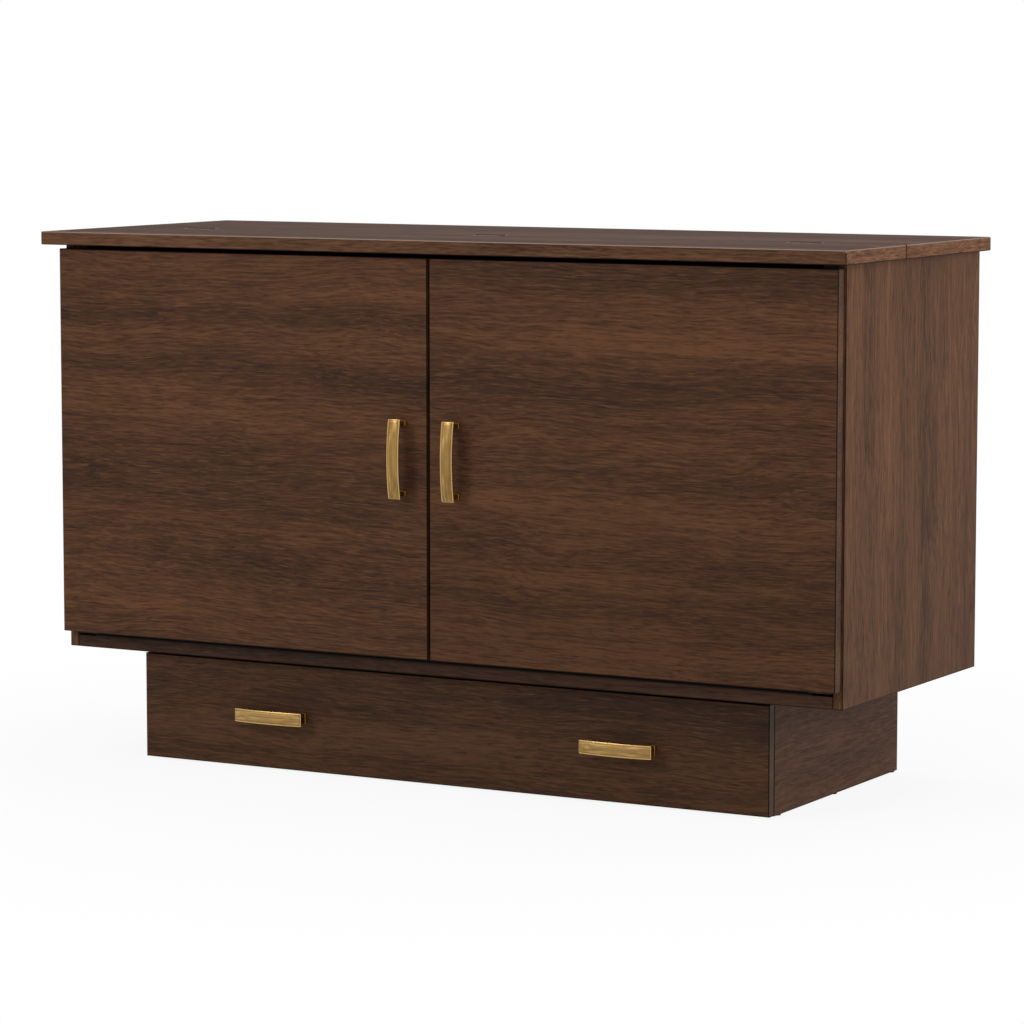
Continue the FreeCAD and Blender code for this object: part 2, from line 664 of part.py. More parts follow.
foot_board = panel(
    "foot_board",
    ("2*(%s - rail_fit)" % INNER_W, "deck_thick + face_gap - 2*rail_fit", "foot_rail_w"),
    ("-(%s - rail_fit)" % INNER_W, "2*rail_fit - face_gap", FOOT_LOW))
sockets = []
for side, x in (("left", "-leg_x - leg_len"), ("right", "leg_x + leg_len")):
    sockets.append(rod(
        "leg_socket_" + side, "stud_r + 0.3", "stud_len + 2*rail_fit + 2",
        (x, "-face_gap", "%s + foot_rail_w/2" % FOOT_LOW), "y", FEW))
node("foot_rail", cut("foot_rail", foot_board, sockets))
STRAP_X = "(%s - slat_side_fit)" % INNER_W
node("foot_strap", panel(
    "foot_strap", ("2*%s" % STRAP_X, "strap_thick", "strap_w"),
    ("-%s" % STRAP_X, "deck_thick", "%s + 2" % SLAT_LOW)))

# ---------------------------------------------------------------- long hinge under the faces
HINGE_X = "(%s - hinge_inset)" % IN_X
SEGMENTS = 9
LEAF_START = "(knuckle_r + 0.4)"


def long_leaf(tag, first, low, up):
    """Leaf with every second knuckle; `first` picks which ones."""
    step = "(2*%s/%d)" % (HINGE_X, SEGMENTS)
    bits = [block(
        tag + "_strip", ("2*%s" % HINGE_X, "leaf_w - 0.4", "leaf_thick"),
        ("-%s" % HINGE_X, LEAF_START, low))]
    for index in range(first, SEGMENTS, 2):
        x = "%d*%s - %s + 0.3" % (index, step, HINGE_X)
        bits.append(block(
            "%s_tab_%d" % (tag, index), ("%s - 0.6" % step, "%s + 1" % LEAF_START, "leaf_thick"),
            (x, "0", low)))
        bits.append(rod(
            "%s_knuckle_%d" % (tag, index), "knuckle_r", "%s - 0.6" % step, (x, "0", AXIS_Z), "x"))
    return bits


fixed_bits = long_leaf("fixed_leaf", 0, "%s - hinge_sink" % FLOOR_TOP, 1)
fixed_bits.append(rod(
    "long_pin", "knuckle_r/2", "2*%s - 0.6" % HINGE_X, ("0.3 - %s" % HINGE_X, "0", AXIS_Z), "x"))
node("front_hinge_fixed_leaf", fuse("front_hinge_fixed_leaf", fixed_bits))
moving_bits = long_leaf("moving_leaf", 1, "%s - leaf_thick" % FRAME_LOW, -1)
long_bore = rod(
    "long_bore", "knuckle_r/2 + pin_fit", "2*%s" % HINGE_X, ("-%s" % HINGE_X, "0", AXIS_Z), "x")
node("front_hinge_moving_leaf", cut(
    "front_hinge_moving_leaf", fuse("moving_leaf_solid", moving_bits), [long_bore]))

# ---------------------------------------------------------------- inner deck and the folded mattress
DECK_BACK = "(carcass_d - back_thick - back_inset)"
bearers = []
for tag, y in (
        ("front", "deck_start"), ("middle", "(deck_start + %s - bearer_w)/2" % DECK_BACK),
        ("rear", "%s - bearer_w" % DECK_BACK)):
    bearers.append(block(
        "bearer_" + tag, ("2*%s - 2*board_fit" % IN_X, "bearer_w", "%s - slat_thick - %s" % (DECK_TOP, FLOOR_TOP)),
        ("board_fit - %s" % IN_X, y, FLOOR_TOP)))
node("deck_bearers", group("deck_bearers", bearers))
inner_slats = []
INNER_PITCH = "((2*(%s - inner_slat_side) - inner_slat_w)/%d)" % (IN_X, INNER_SLATS - 1)
for index in range(INNER_SLATS):
    shift = 2*index - (INNER_SLATS - 1)
    inner_slats.append(block(
        "inner_slat_%d" % index,
        ("inner_slat_w", "%s - deck_start - board_fit" % DECK_BACK, "slat_thick"),
        ("%d*%s/2 - inner_slat_w/2" % (shift, INNER_PITCH), "deck_start", "%s - slat_thick" % DECK_TOP)))
node("deck_slats", group("deck_slats", inner_slats))

MAT_X = "(%s - mat_side_gap)" % IN_X
MAT_THICK = "((%s - mat_start - mat_back_gap - 2*mat_gap)/3)" % DECK_BACK
MAT_HIGH = "(%s - mat_head_gap - %s - mat_rest)" % (CARCASS_TOP, DECK_TOP)
for index, tag in enumerate(("front", "middle", "rear")):
    name = "mattress_" + tag
    node(name, panel(
        name, ("2*%s" % MAT_X, MAT_THICK, MAT_HIGH),
        ("-%s" % MAT_X, "mat_start + %d*(%s + mat_gap)" % (index, MAT_THICK), "%s + mat_rest" % DECK_TOP),
        "mat_round", all_edges))

# ---------------------------------------------------------------- pedestal
BASE_SIDE_Y = "(%s + front_back_gap)" % DRAWER_Y
for side, x in (("left", "-%s" % BASE_X), ("right", BASE_IN)):
    name = "base_side_" + side
    node(name, panel(
        name, ("base_board", "%s - %s" % (BASE_BACK, BASE_SIDE_Y), "base_h - glide_h"),
        (x, BASE_SIDE_Y, "glide_h"), "edge_round/2", upright_front))
node("base_back", panel(
    "base_back", ("2*%s" % BASE_IN, "base_board", "base_h - glide_h"),
    ("-%s" % BASE_IN, "%s - base_board" % BASE_BACK, "glide_h")))
glides = []
for tag, x, y in (
        ("fl", "-(%s - base_board/2)" % BASE_X, "%s + 30" % BASE_SIDE_Y),
        ("fr", "%s - base_board/2" % BASE_X, "%s + 30" % BASE_SIDE_Y),
        ("ml", "-(%s - base_board/2)" % BASE_X, "(%s + %s)/2" % (BASE_SIDE_Y, BASE_BACK)),
        ("mr", "%s - base_board/2" % BASE_X, "(%s + %s)/2" % (BASE_SIDE_Y, BASE_BACK)),
        ("bl", "-(%s - base_board/2)" % BASE_X, "%s - base_board/2" % BASE_BACK),
        ("bm", "0", "%s - base_board/2" % BASE_BACK),
        ("br", "%s - base_board/2" % BASE_X, "%s - base_board/2" % BASE_BACK)):
    glides.append(rod("glide_" + tag, "glide_r/2", "glide_h", (x, y, "0"), "z", FEW))
node("base_glides", group("base_glides", glides))

# ---------------------------------------------------------------- drawer
drawer_spots = {
    side: [("%s - pull_posts/2" % x, "drawer_pull_z"), ("%s + pull_posts/2" % x, "drawer_pull_z")]
    for side, x in (("left", "-drawer_pull_x"), ("right", "drawer_pull_x"))
}
front_raw = panel(
    "drawer_front_board",
    ("2*%s" % BASE_X, "front_thick", "base_h - front_top_gap - front_low"),
    ("-%s" % BASE_X, "base_front_set", "front_low"), "edge_round", on_front)
front_holes = []
drawer_screws = []
for side in ("left", "right"):
    for index, (x, z) in enumerate(drawer_spots[side]):
        front_holes.append(rod(
            "drawer_hole_%s_%d" % (side, index), "screw_r + 0.1", "front_thick + 4",
            (x, "base_front_set - 2", z), "y", FEW))
    drawer_screws += pull_screws("drawer_" + side, drawer_spots[side], DRAWER_Y, "front_thick")
    x = "-drawer_pull_x" if side == "left" else "drawer_pull_x"
    pull("drawer_pull_" + side, "x", (x, "drawer_pull_z"), "base_front_set")
node("drawer_front", cut("drawer_front", front_raw, front_holes))
node("drawer_pull_screws", group("drawer_pull_screws", drawer_screws))

SIDE_HIGH = "(%s - drawer_low)" % DRAWER_HIGH
groove = "(drawer_side_thick - groove_deep)"
groove_top = "(groove_up + drawer_floor_thick)"
for side in ("left", "right"):
    name = "drawer_side_" + side
    if side == "left":
        points = [
            ("0", "0"), ("drawer_side_thick", "0"), ("drawer_side_thick", "groove_up"),
            (groove, "groove_up"), (groove, groove_top), ("drawer_side_thick", groove_top),
            ("drawer_side_thick", SIDE_HIGH), ("0", SIDE_HIGH),
        ]
        x = "-%s" % DRAWER_X
    else:
        points = [
            ("0", "0"), ("drawer_side_thick", "0"), ("drawer_side_thick", SIDE_HIGH),
            ("0", SIDE_HIGH), ("0", groove_top), ("groove_deep", groove_top),
            ("groove_deep", "groove_up"), ("0", "groove_up"),
        ]
        x = "%s - drawer_side_thick" % DRAWER_X
    node(name, board(name, "XZ_Plane", points, DRAWER_LEN, (x, DRAWER_Y, "drawer_low")))
BOTTOM_Z = "(drawer_low + groove_up)"
FLOOR_Z = "(drawer_low + groove_up + drawer_floor_thick)"
BOX_IN = "(%s - drawer_side_thick)" % DRAWER_X
node("drawer_bottom", panel(
    "drawer_bottom",
    ("2*(%s + groove_deep - board_fit)" % BOX_IN, DRAWER_LEN, "drawer_floor_thick"),
    ("-(%s + groove_deep - board_fit)" % BOX_IN, DRAWER_Y, BOTTOM_Z)))
node("drawer_back", panel(
    "drawer_back",
    ("2*%s" % BOX_IN, "drawer_side_thick", "%s - %s" % (DRAWER_HIGH, FLOOR_Z)),
    ("-%s" % BOX_IN, "%s - drawer_side_thick" % DRAWER_END, FLOOR_Z)))
node("drawer_brace", panel(
    "drawer_brace", ("muntin_w", DRAWER_LEN, "groove_up"),
    ("-muntin_w/2", DRAWER_Y, "drawer_low")))
strips = []
for side, x in (("left", "-%s" % DRAWER_X), ("right", BOX_IN)):
    strips.append(block(
        "rest_strip_" + side, ("drawer_side_thick", DRAWER_LEN, "rest_h"),
        (x, DRAWER_Y, DRAWER_HIGH)))
node("deck_rest_strips", group("deck_rest_strips", strips))

# Runners: three nested channels on each side.
RUNNER_Y = "(%s + front_back_gap)" % DRAWER_Y


def channel(name, side, from_base, flange, web_near_base, tall):
    """C channel along Y; `from_base` is its distance off the pedestal side."""
    steel = "runner_steel"
    high = "(%s)" % tall
    open_right = [
        ("0", "0"), (flange, "0"), (flange, steel), (steel, steel),
        (steel, "%s - %s" % (high, steel)), (flange, "%s - %s" % (high, steel)),
        (flange, high), ("0", high),
    ]
    open_left = [
        ("0", "0"), (flange, "0"), (flange, high), ("0", high),
        ("0", "%s - %s" % (high, steel)), ("%s - %s" % (flange, steel), "%s - %s" % (high, steel)),
        ("%s - %s" % (flange, steel), steel), ("0", steel),
    ]
    on_left = side == "left"
    points = open_right if on_left == web_near_base else open_left
    x = "%s - %s" % (from_base, BASE_IN) if on_left else "%s - %s - %s" % (BASE_IN, from_base, flange)
    return node(name, board(
        name, "XZ_Plane", points, "runner_len", (x, RUNNER_Y, "runner_up - %s/2" % high)))


STEP = "(runner_steel + runner_fit)"
for side in ("left", "right"):
    channel("runner_outer_" + side, side, "0", "(runner_w - 3*%s)" % STEP, True, "runner_h")
    channel(
        "runner_middle_" + side, side, "(%s)" % STEP, "(runner_w - 3*%s)" % STEP, True,
        "runner_h - 2*%s" % STEP)
    channel(
        "runner_inner_" + side, side, "(runner_w - 4*%s)" % STEP, "(4*%s)" % STEP, False,
        "runner_h - 4*%s" % STEP)

# Support wheels in forks under the drawer bottom.
WHEEL_Y = "(%s + wheel_y)" % DRAWER_Y
WHEEL_Z = "(wheel_r + wheel_lift)"
forks = []
for side, x in (("left", "-wheel_x"), ("right", "wheel_x")):
    tyre = rod("tyre_" + side, "wheel_r", "wheel_w", ("%s - wheel_w/2" % x, WHEEL_Y, WHEEL_Z), "x")
    bore = rod("wheel_bore_" + side, "axle_r + pin_fit", "wheel_w + 2", ("%s - wheel_w/2 - 1" % x, WHEEL_Y, WHEEL_Z), "x")
    node("wheel_" + side, cut("wheel_" + side, tyre, [bore]))
    wide = "(wheel_w + 2*fork_fit + 2*fork_thick)"
    cheek_low = "(%s - axle_r - 3)" % WHEEL_Z
    plate = block(
        "fork_plate_" + side, (wide, "fork_d", "fork_thick"),
        ("%s - %s/2" % (x, wide), "%s - fork_d/2" % WHEEL_Y, "%s - fork_thick" % BOTTOM_Z))
    bits = [plate]
    for tag, cx in (
            ("a", "%s - %s/2" % (x, wide)), ("b", "%s + %s/2 - fork_thick" % (x, wide))):
        bits.append(block(
            "fork_cheek_%s_%s" % (tag, side), ("fork_thick", "fork_d", "%s - %s" % (BOTTOM_Z, cheek_low)),
            (cx, "%s - fork_d/2" % WHEEL_Y, cheek_low)))
    bits.append(rod("axle_" + side, "axle_r", wide, ("%s - %s/2" % (x, wide), WHEEL_Y, WHEEL_Z), "x"))
    forks.append(fuse("fork_" + side, bits))
node("wheel_forks", group("wheel_forks", forks))

# Foot legs, laid in the back of the drawer until the foot rail is out.
legs = []
tips = []
LEG_Z = "(%s + leg_r)" % FLOOR_Z
LEG_Y = "(%s - drawer_side_thick - leg_back_gap - leg_r)" % DRAWER_END
for side in ("left", "right"):
    if side == "left":
        body = leg_shaft("leg_shaft_left", 90, ("-leg_x", LEG_Y, LEG_Z))
        stud = rod("leg_stud_left", "stud_r", "stud_len", ("-leg_x", LEG_Y, LEG_Z), "x", FEW)
        tip_x = "-leg_x - leg_len - leg_tip_h"
    else:
        body = leg_shaft("leg_shaft_right", -90, ("leg_x", LEG_Y, LEG_Z))
        stud = rod("leg_stud_right", "stud_r", "stud_len", ("leg_x - stud_len", LEG_Y, LEG_Z), "x", FEW)
        tip_x = "leg_x + leg_len"
    tip = block(
        "leg_tip_" + side, ("leg_tip_h", "2*leg_tip_r", "2*leg_tip_r"),
        (tip_x, "%s - leg_tip_r" % LEG_Y, "%s - leg_tip_r" % LEG_Z))
    legs.append(fuse("leg_" + side, [body, stud]))
    tips.append(tip)
node("foot_legs", group("foot_legs", legs))
node("foot_leg_tips", group("foot_leg_tips", tips))

# ---------------------------------------------------------------- checks and files
doc.recompute()
for thing in doc.Objects:
    if "Invalid" in thing.State or "Error" in thing.State:
        raise RuntimeError("%s failed: %s" % (thing.Label, thing.State))
names = [thing.Label for thing in NODES]
if len(set(names)) != len(names):
    raise RuntimeError("two nodes share a name")
for thing in NODES:
    shape = thing.Shape
    if shape.isNull() or not shape.isValid() or not shape.Solids:
        raise RuntimeError(thing.Label + " has no valid solid")
os.makedirs("parts", exist_ok=True)
for thing in NODES:
    thing.Shape.exportStep("parts/%s.step" % thing.Label)
whole = FreeCAD.BoundBox()
for thing in NODES:
    whole.add(thing.Shape.BoundBox)
print("%d nodes, %.1f x %.1f x %.1f mm" % (len(NODES), whole.XLength, whole.YLength, whole.ZLength))
print("y from %.2f to %.2f" % (whole.YMin, whole.YMax))
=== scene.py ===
import math

import bmesh
import bpy
import numpy as np
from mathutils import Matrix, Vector


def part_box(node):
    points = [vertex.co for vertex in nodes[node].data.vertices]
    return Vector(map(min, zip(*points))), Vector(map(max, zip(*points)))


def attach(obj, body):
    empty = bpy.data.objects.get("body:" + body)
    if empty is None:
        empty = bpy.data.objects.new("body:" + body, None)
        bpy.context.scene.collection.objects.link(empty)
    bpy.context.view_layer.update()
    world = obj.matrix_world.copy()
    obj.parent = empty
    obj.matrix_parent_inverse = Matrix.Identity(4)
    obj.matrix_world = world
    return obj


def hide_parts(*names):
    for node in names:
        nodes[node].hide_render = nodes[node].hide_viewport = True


# Cabinet bed, closed at rest. Metres, +Z up, the front faces -Y. Each solid of the frame keeps its
# place and gets a finish; pulls, screw heads, bumpers and mattress sections are made here.
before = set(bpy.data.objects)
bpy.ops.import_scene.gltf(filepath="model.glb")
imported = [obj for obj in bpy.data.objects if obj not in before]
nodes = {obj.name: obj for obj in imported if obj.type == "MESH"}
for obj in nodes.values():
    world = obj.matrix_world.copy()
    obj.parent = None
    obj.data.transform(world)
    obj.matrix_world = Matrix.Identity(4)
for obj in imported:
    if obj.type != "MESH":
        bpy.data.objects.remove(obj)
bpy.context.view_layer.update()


# ------------------------------------------------------------------ materials
def srgb(red, green, blue):
    """Colour as seen, 0 to 255, to a shader's linear colour."""
    out = []
    for value in (red, green, blue):
        value /= 255
        out.append(value / 12.92 if value <= 0.04045 else ((value + 0.055) / 1.055) ** 2.4)
    return (out[0], out[1], out[2], 1)


class Net:
    """A material's node tree, written as nested calls that hand on sockets."""

    def __init__(self, name):
        self.mat = bpy.data.materials.new(name)
        self.mat.use_nodes = True
        self.tree = self.mat.node_tree
        self.tree.nodes.clear()
        self.out = self.tree.nodes.new("ShaderNodeOutputMaterial")

    def add(self, kind, values=(), **settings):
        """New node; values go to its inputs, as constants or as links."""
        made = self.tree.nodes.new("ShaderNode" + kind)
        for key, value in settings.items():
            setattr(made, key, value)
        for key, value in dict(values).items():
            self.feed(made, key, value)
        return made

    def feed(self, made, key, value):
        if isinstance(value, bpy.types.NodeSocket):
            self.tree.links.new(value, made.inputs[key])
        else:
            made.inputs[key].default_value = value

    def coords(self):
        """Place on the object in metres."""
        return self.add("TexCoord").outputs["Object"]

    def scaled(self, vector, scale, shift=(0, 0, 0)):
        values = {"Vector": vector, "Scale": scale, "Location": shift}
        return self.add("Mapping", values).outputs["Vector"]

    def noise(self, vector, detail=3.0, rough=0.55):
        values = {"Vector": vector, "Scale": 1.0, "Detail": detail, "Roughness": rough}
        return self.add("TexNoise", values)

    def math(self, operation, a, b=0.0):
        return self.add("Math", {0: a, 1: b}, operation=operation).outputs[0]

    def vector(self, operation, a, b):
        return self.add("VectorMath", {0: a, 1: b}, operation=operation).outputs[0]

    def span(self, value, low, high, to_low=0.0, to_high=1.0):
        """Carries the range low to high over to another one, and stops at its ends."""
        values = {"Value": value, "From Min": low, "From Max": high, "To Min": to_low, "To Max": to_high}
        return self.add("MapRange", values).outputs["Result"]

    def ramp(self, value, stops):
        made = self.add("ValToRGB", {"Fac": value})
        line = made.color_ramp
        line.elements[0].position, line.elements[0].color = stops[0]
        line.elements[1].position, line.elements[1].color = stops[-1]
        for place, colour in stops[1:-1]:
            line.elements.new(place).color = colour
        return made.outputs["Color"]

    def mix(self, factor, a, b, blend="MIX"):
        made = self.add("Mix", data_type="RGBA", blend_type=blend)
        self.feed(made, 0, factor)
        self.feed(made, 6, a)
        self.feed(made, 7, b)
        return made.outputs[2]

    def grey(self, value):
        """Colour with three equal parts."""
        return self.add("CombineColor", {0: value, 1: value, 2: value}).outputs[0]

    def rim(self, node):
        """Distance of a point of a box-shaped solid to the nearest arris, and its offset from the middle."""
        low, high = (Vector(corner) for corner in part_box(node))
        offset = self.vector("SUBTRACT", self.coords(), tuple((low + high) / 2))
        inset = self.vector("SUBTRACT", tuple((high - low) / 2), self.vector("ABSOLUTE", offset, (0, 0, 0)))
        x, y, z = self.add("SeparateXYZ", {0: inset}).outputs
        second = self.math("MINIMUM", self.math("MAXIMUM", x, y), z)
        return self.math("MAXIMUM", self.math("MINIMUM", x, y), second), offset

    def bump(self, height, strength, distance, under=None):
        values = {"Height": height, "Strength": strength, "Distance": distance}
        if under is not None:
            values["Normal"] = under
        return self.add("Bump", values).outputs["Normal"]

    def finish(self, **values):
        """Ends the tree in a surface shader; an underscore in a name stands for a space."""
        names = {key.replace("_", " "): value for key, value in values.items()}
        shader = self.add("BsdfPrincipled", names)
        self.tree.links.new(shader.outputs[0], self.out.inputs["Surface"])
        return self.mat


def stretch(grain, along, across):
    """Scale of a texture that is drawn out along the grain."""
    return tuple(along if axis == grain else across for axis in "xyz")


def walnut(
        name, grain, seed, tones, rough=0.45, shine=0.07, node=None, line=(0.0012, 0.3), ends=None,
        front=None, fade=1.0):
    """Dark stained walnut veneer under satin lacquer: bands, wavy streaks, short pores and flecks.

    node is the box-shaped solid whose arrises get a line, and line is its width and shade.
    ends and front are other tones for the X and Y faces of a top, whose upper arris gets a pale painted
    highlight.
    fade is the share of its tone that is left in the lower part of the solid.
    """
    net = Net(name)
    place = net.vector("ADD", net.coords(), (seed * 1.37, seed * 0.71, seed * 2.13))

    def figure(direction, shades):
        """Colour, pores and streaks of the grain that runs in one direction."""
        wave = net.noise(net.scaled(place, stretch(direction, 1.6, 4.0)), 2.0, 0.5)
        swing = net.vector("SUBTRACT", wave.outputs["Color"], (0.5, 0.5, 0.5))
        bent = net.vector("MULTIPLY", swing, stretch(direction, 0.0, 0.06))
        ripple = net.noise(net.scaled(place, stretch(direction, 7.0, 16.0)), 2.0, 0.5)
        small = net.vector("SUBTRACT", ripple.outputs["Color"], (0.5, 0.5, 0.5))
        bent_small = net.vector("MULTIPLY", small, stretch(direction, 0.0, 0.008))
        warped = net.vector("ADD", net.vector("ADD", place, bent), bent_small)
        bands = net.noise(net.scaled(warped, stretch(direction, 0.7, 12.0)), 3.0, 0.55).outputs["Fac"]
        streaks = net.noise(net.scaled(warped, stretch(direction, 8.0, 210.0)), 3.0, 0.6).outputs["Fac"]
        pores = net.noise(net.scaled(warped, stretch(direction, 34.0, 460.0)), 2.0, 0.6).outputs["Fac"]
        tone = net.math("MULTIPLY", net.span(bands, 0.3, 0.7), 0.44)
        tone = net.math("ADD", tone, net.math("MULTIPLY", net.span(streaks, 0.34, 0.66), 0.3))
        tone = net.math("ADD", tone, net.math("MULTIPLY", net.span(pores, 0.34, 0.66), 0.26))
        dark, middle, light = shades
        colour = net.ramp(tone, [(0.18, dark), (0.48, middle), (0.82, light)])
        flecks = net.noise(net.scaled(warped, stretch(direction, 22.0, 380.0), (3.1, 7.7, 5.3)), 2.0, 0.5)
        colour = net.mix(net.span(flecks.outputs["Fac"], 0.56, 0.7, 0.0, 0.7), colour, light)
        lines = net.grey(net.span(pores, 0.3, 0.42, 0.78, 1.0))
        return net.mix(1.0, colour, lines, "MULTIPLY"), pores, streaks

    colour, pores, streaks = figure(grain, tones)
    for axis, direction, shades in (("X", "y", ends), ("Y", "x", front)):
        if shades:
            banding = figure(direction, shades)[0]
            normal = net.add("SeparateXYZ", {0: net.add("NewGeometry").outputs["True Normal"]})
            facing = net.math("GREATER_THAN", net.math("ABSOLUTE", normal.outputs[axis]), 0.75)
            colour = net.mix(facing, colour, banding)
    # Darker towards the bottom of the solid.
    if fade < 1.0:
        low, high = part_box(node)
        height = net.add("SeparateXYZ", {0: net.coords()}).outputs["Z"]
        from_z, to_z = (low.z + share * (high.z - low.z) for share in (0.15, 0.6))
        darker_below = net.span(height, from_z, to_z, fade, 1.0)
        colour = net.mix(1.0, colour, net.grey(darker_below), "MULTIPLY")
    if node:
        near, offset = net.rim(node)
        width, shade = line
        mark = net.span(near, width, width + 0.0008, 1.0, 0.0)
        edge = net.mix(1.0, colour, net.grey(shade), "MULTIPLY")
        # On a top, the dark line along its upper arris, away from the seam, gives way to a pale painted
        # highlight.
        if front:
            height = net.add("SeparateXYZ", {0: offset}).outputs["Z"]
            upper = net.span(height, 0.008, 0.0095)
            across = net.add("SeparateXYZ", {0: net.coords()}).outputs["Y"]
            from_seam = net.math("ABSOLUTE", net.math("SUBTRACT", across, SEAM))
            outer = net.math("GREATER_THAN", from_seam, 0.004)
            edge = net.mix(net.math("MULTIPLY", upper, outer), edge, PAINTED_ARRIS_HIGHLIGHT)
        colour = net.mix(mark, colour, edge)
    fine = net.bump(pores, 0.16, 0.0004)
    orange_peel = net.noise(net.scaled(place, (140, 140, 140)), 1.0, 0.5).outputs["Fac"]
    normal = net.bump(orange_peel, 0.05, 0.0006, fine)
    gloss = net.span(streaks, 0.3, 0.7, rough + 0.05, rough - 0.05)
    return net.finish(
        Base_Color=colour, Roughness=gloss, Normal=normal, Specular_IOR_Level=shine)


def pale_wood(name, grain, seed, tones, rough=0.55):
    """Planed poplar or birch: quiet straight grain with faint darker lines."""
    net = Net(name)
    place = net.vector("ADD", net.coords(), (seed * 1.9, seed * 0.83, seed * 1.21))
    wave = net.noise(net.scaled(place, stretch(grain, 1.2, 3.0)), 2.0, 0.5)
    swing = net.vector("SUBTRACT", wave.outputs["Color"], (0.5, 0.5, 0.5))
    warped = net.vector("ADD", place, net.vector("MULTIPLY", swing, stretch(grain, 0.0, 0.035)))
    bands = net.noise(net.scaled(warped, stretch(grain, 0.5, 13.0)), 3.0, 0.55).outputs["Fac"]
    lines = net.noise(net.scaled(warped, stretch(grain, 2.5, 120.0)), 3.0, 0.55).outputs["Fac"]
    pores = net.noise(net.scaled(warped, stretch(grain, 30.0, 700.0)), 2.0, 0.5).outputs["Fac"]
    tone = net.math("MULTIPLY", net.span(bands, 0.3, 0.7), 0.5)
    tone = net.math("ADD", tone, net.math("MULTIPLY", net.span(lines, 0.3, 0.7), 0.35))
    tone = net.math("ADD", tone, net.math("MULTIPLY", net.span(pores, 0.3, 0.7), 0.15))
    colour = net.ramp(tone, [(0.15, tones[0]), (0.5, tones[1]), (0.85, tones[2])])
    normal = net.bump(pores, 0.15, 0.0004)
    gloss = net.span(lines, 0.3, 0.7, rough + 0.06, rough - 0.06)
    return net.finish(Base_Color=colour, Roughness=gloss, Normal=normal)


def brushed_metal(name, tones, grain, rough, mixture=(0.4, 0.35, 0.25), coat=0.0):
    """Brushed metal under lacquer: fine strokes, broad strokes and tarnish, mixed by these shares."""
    net = Net(name)
    place = net.coords()
    strokes = net.noise(net.scaled(place, stretch(grain, 9.0, 900.0)), 3.0, 0.6).outputs["Fac"]
    broad = net.noise(net.scaled(place, stretch(grain, 3.0, 270.0)), 2.0, 0.5).outputs["Fac"]
    cloud = net.noise(net.scaled(place, (26, 26, 26)), 2.0, 0.5).outputs["Fac"]
    fine_share, broad_share, cloud_share = mixture
    tone = net.math("MULTIPLY", strokes, fine_share)
    tone = net.math("ADD", tone, net.math("MULTIPLY", cloud, cloud_share))
    tone = net.math("ADD", tone, net.math("MULTIPLY", broad, broad_share))
    colour = net.ramp(tone, [(0.3, tones[0]), (0.52, tones[1]), (0.72, tones[2])])
    gloss = net.span(strokes, 0.3, 0.7, rough - 0.06, rough + 0.1)
    normal = net.bump(strokes, 0.12, 0.0002)
    return net.finish(
        Base_Color=colour, Metallic=1.0, Roughness=gloss, Normal=normal, Coat_Weight=coat,
        Coat_Roughness=0.28)


def speckled(name, tones, scale, rough, bump=0.1, specular=0.4):
    """Moulded, cast or painted surface with a fine grain."""
    net = Net(name)
    place = net.coords()
    grain = net.noise(net.scaled(place, (scale, scale, scale)), 3.0, 0.6).outputs["Fac"]
    cloud = net.noise(net.scaled(place, (scale / 14, scale / 14, scale / 14)), 2.0, 0.5).outputs["Fac"]
    tone = net.math("ADD", net.math("MULTIPLY", grain, 0.5), net.math("MULTIPLY", cloud, 0.5))
    colour = net.ramp(tone, [(0.32, tones[0]), (0.68, tones[1])])
    gloss = net.span(cloud, 0.3, 0.7, rough - 0.05, rough + 0.05)
    normal = net.bump(grain, bump, 0.0005)
    return net.finish(
        Base_Color=colour, Roughness=gloss, Normal=normal, Specular_IOR_Level=specular)


def ticking(name, base, stripe, pitch=0.052, width=0.004):
    """Woven ticking: plain weave with narrow twin stripes, one pair to each pitch."""
    net = Net(name)
    place = net.coords()
    parts = net.add("SeparateXYZ", {0: place})
    turns = net.math("MULTIPLY", parts.outputs["X"], 1.0 / pitch)
    beat = net.math("ABSOLUTE", net.math("SUBTRACT", net.math("FRACT", turns), 0.5))
    twin = net.math("ABSOLUTE", net.math("SUBTRACT", beat, 0.07))
    line = net.span(twin, width / pitch * 0.25, width / pitch * 0.5, 1.0, 0.0)
    thread = 0.0016
    rows = []
    for axis in "XYZ":
        rows.append(net.math("SINE", net.math("MULTIPLY", parts.outputs[axis], 2 * math.pi / thread)))
    weave = net.math("ADD", net.math("MULTIPLY", rows[0], rows[2]), net.math("MULTIPLY", rows[1], 0.5))
    slub = net.noise(net.scaled(place, (60, 260, 260)), 3.0, 0.6).outputs["Fac"]
    cloth = net.mix(net.span(slub, 0.3, 0.7, 0.0, 0.5), base, srgb(205, 200, 190))
    colour = net.mix(net.math("MULTIPLY", line, 0.8), cloth, stripe)
    normal = net.bump(weave, 0.25, 0.0004, net.bump(slub, 0.2, 0.0006))
    return net.finish(
        Base_Color=colour, Roughness=0.92, Normal=normal, Sheen_Weight=0.25, Specular_IOR_Level=0.2)


def felt_cloth(name, tones):
    """Pressed felt."""
    net = Net(name)
    fibre = net.noise(net.scaled(net.coords(), (420, 420, 420)), 4.0, 0.7).outputs["Fac"]
    colour = net.mix(net.span(fibre, 0.3, 0.7), tones[0], tones[1])
    return net.finish(
        Base_Color=colour, Roughness=0.95, Normal=net.bump(fibre, 0.5, 0.0008), Sheen_Weight=0.3)


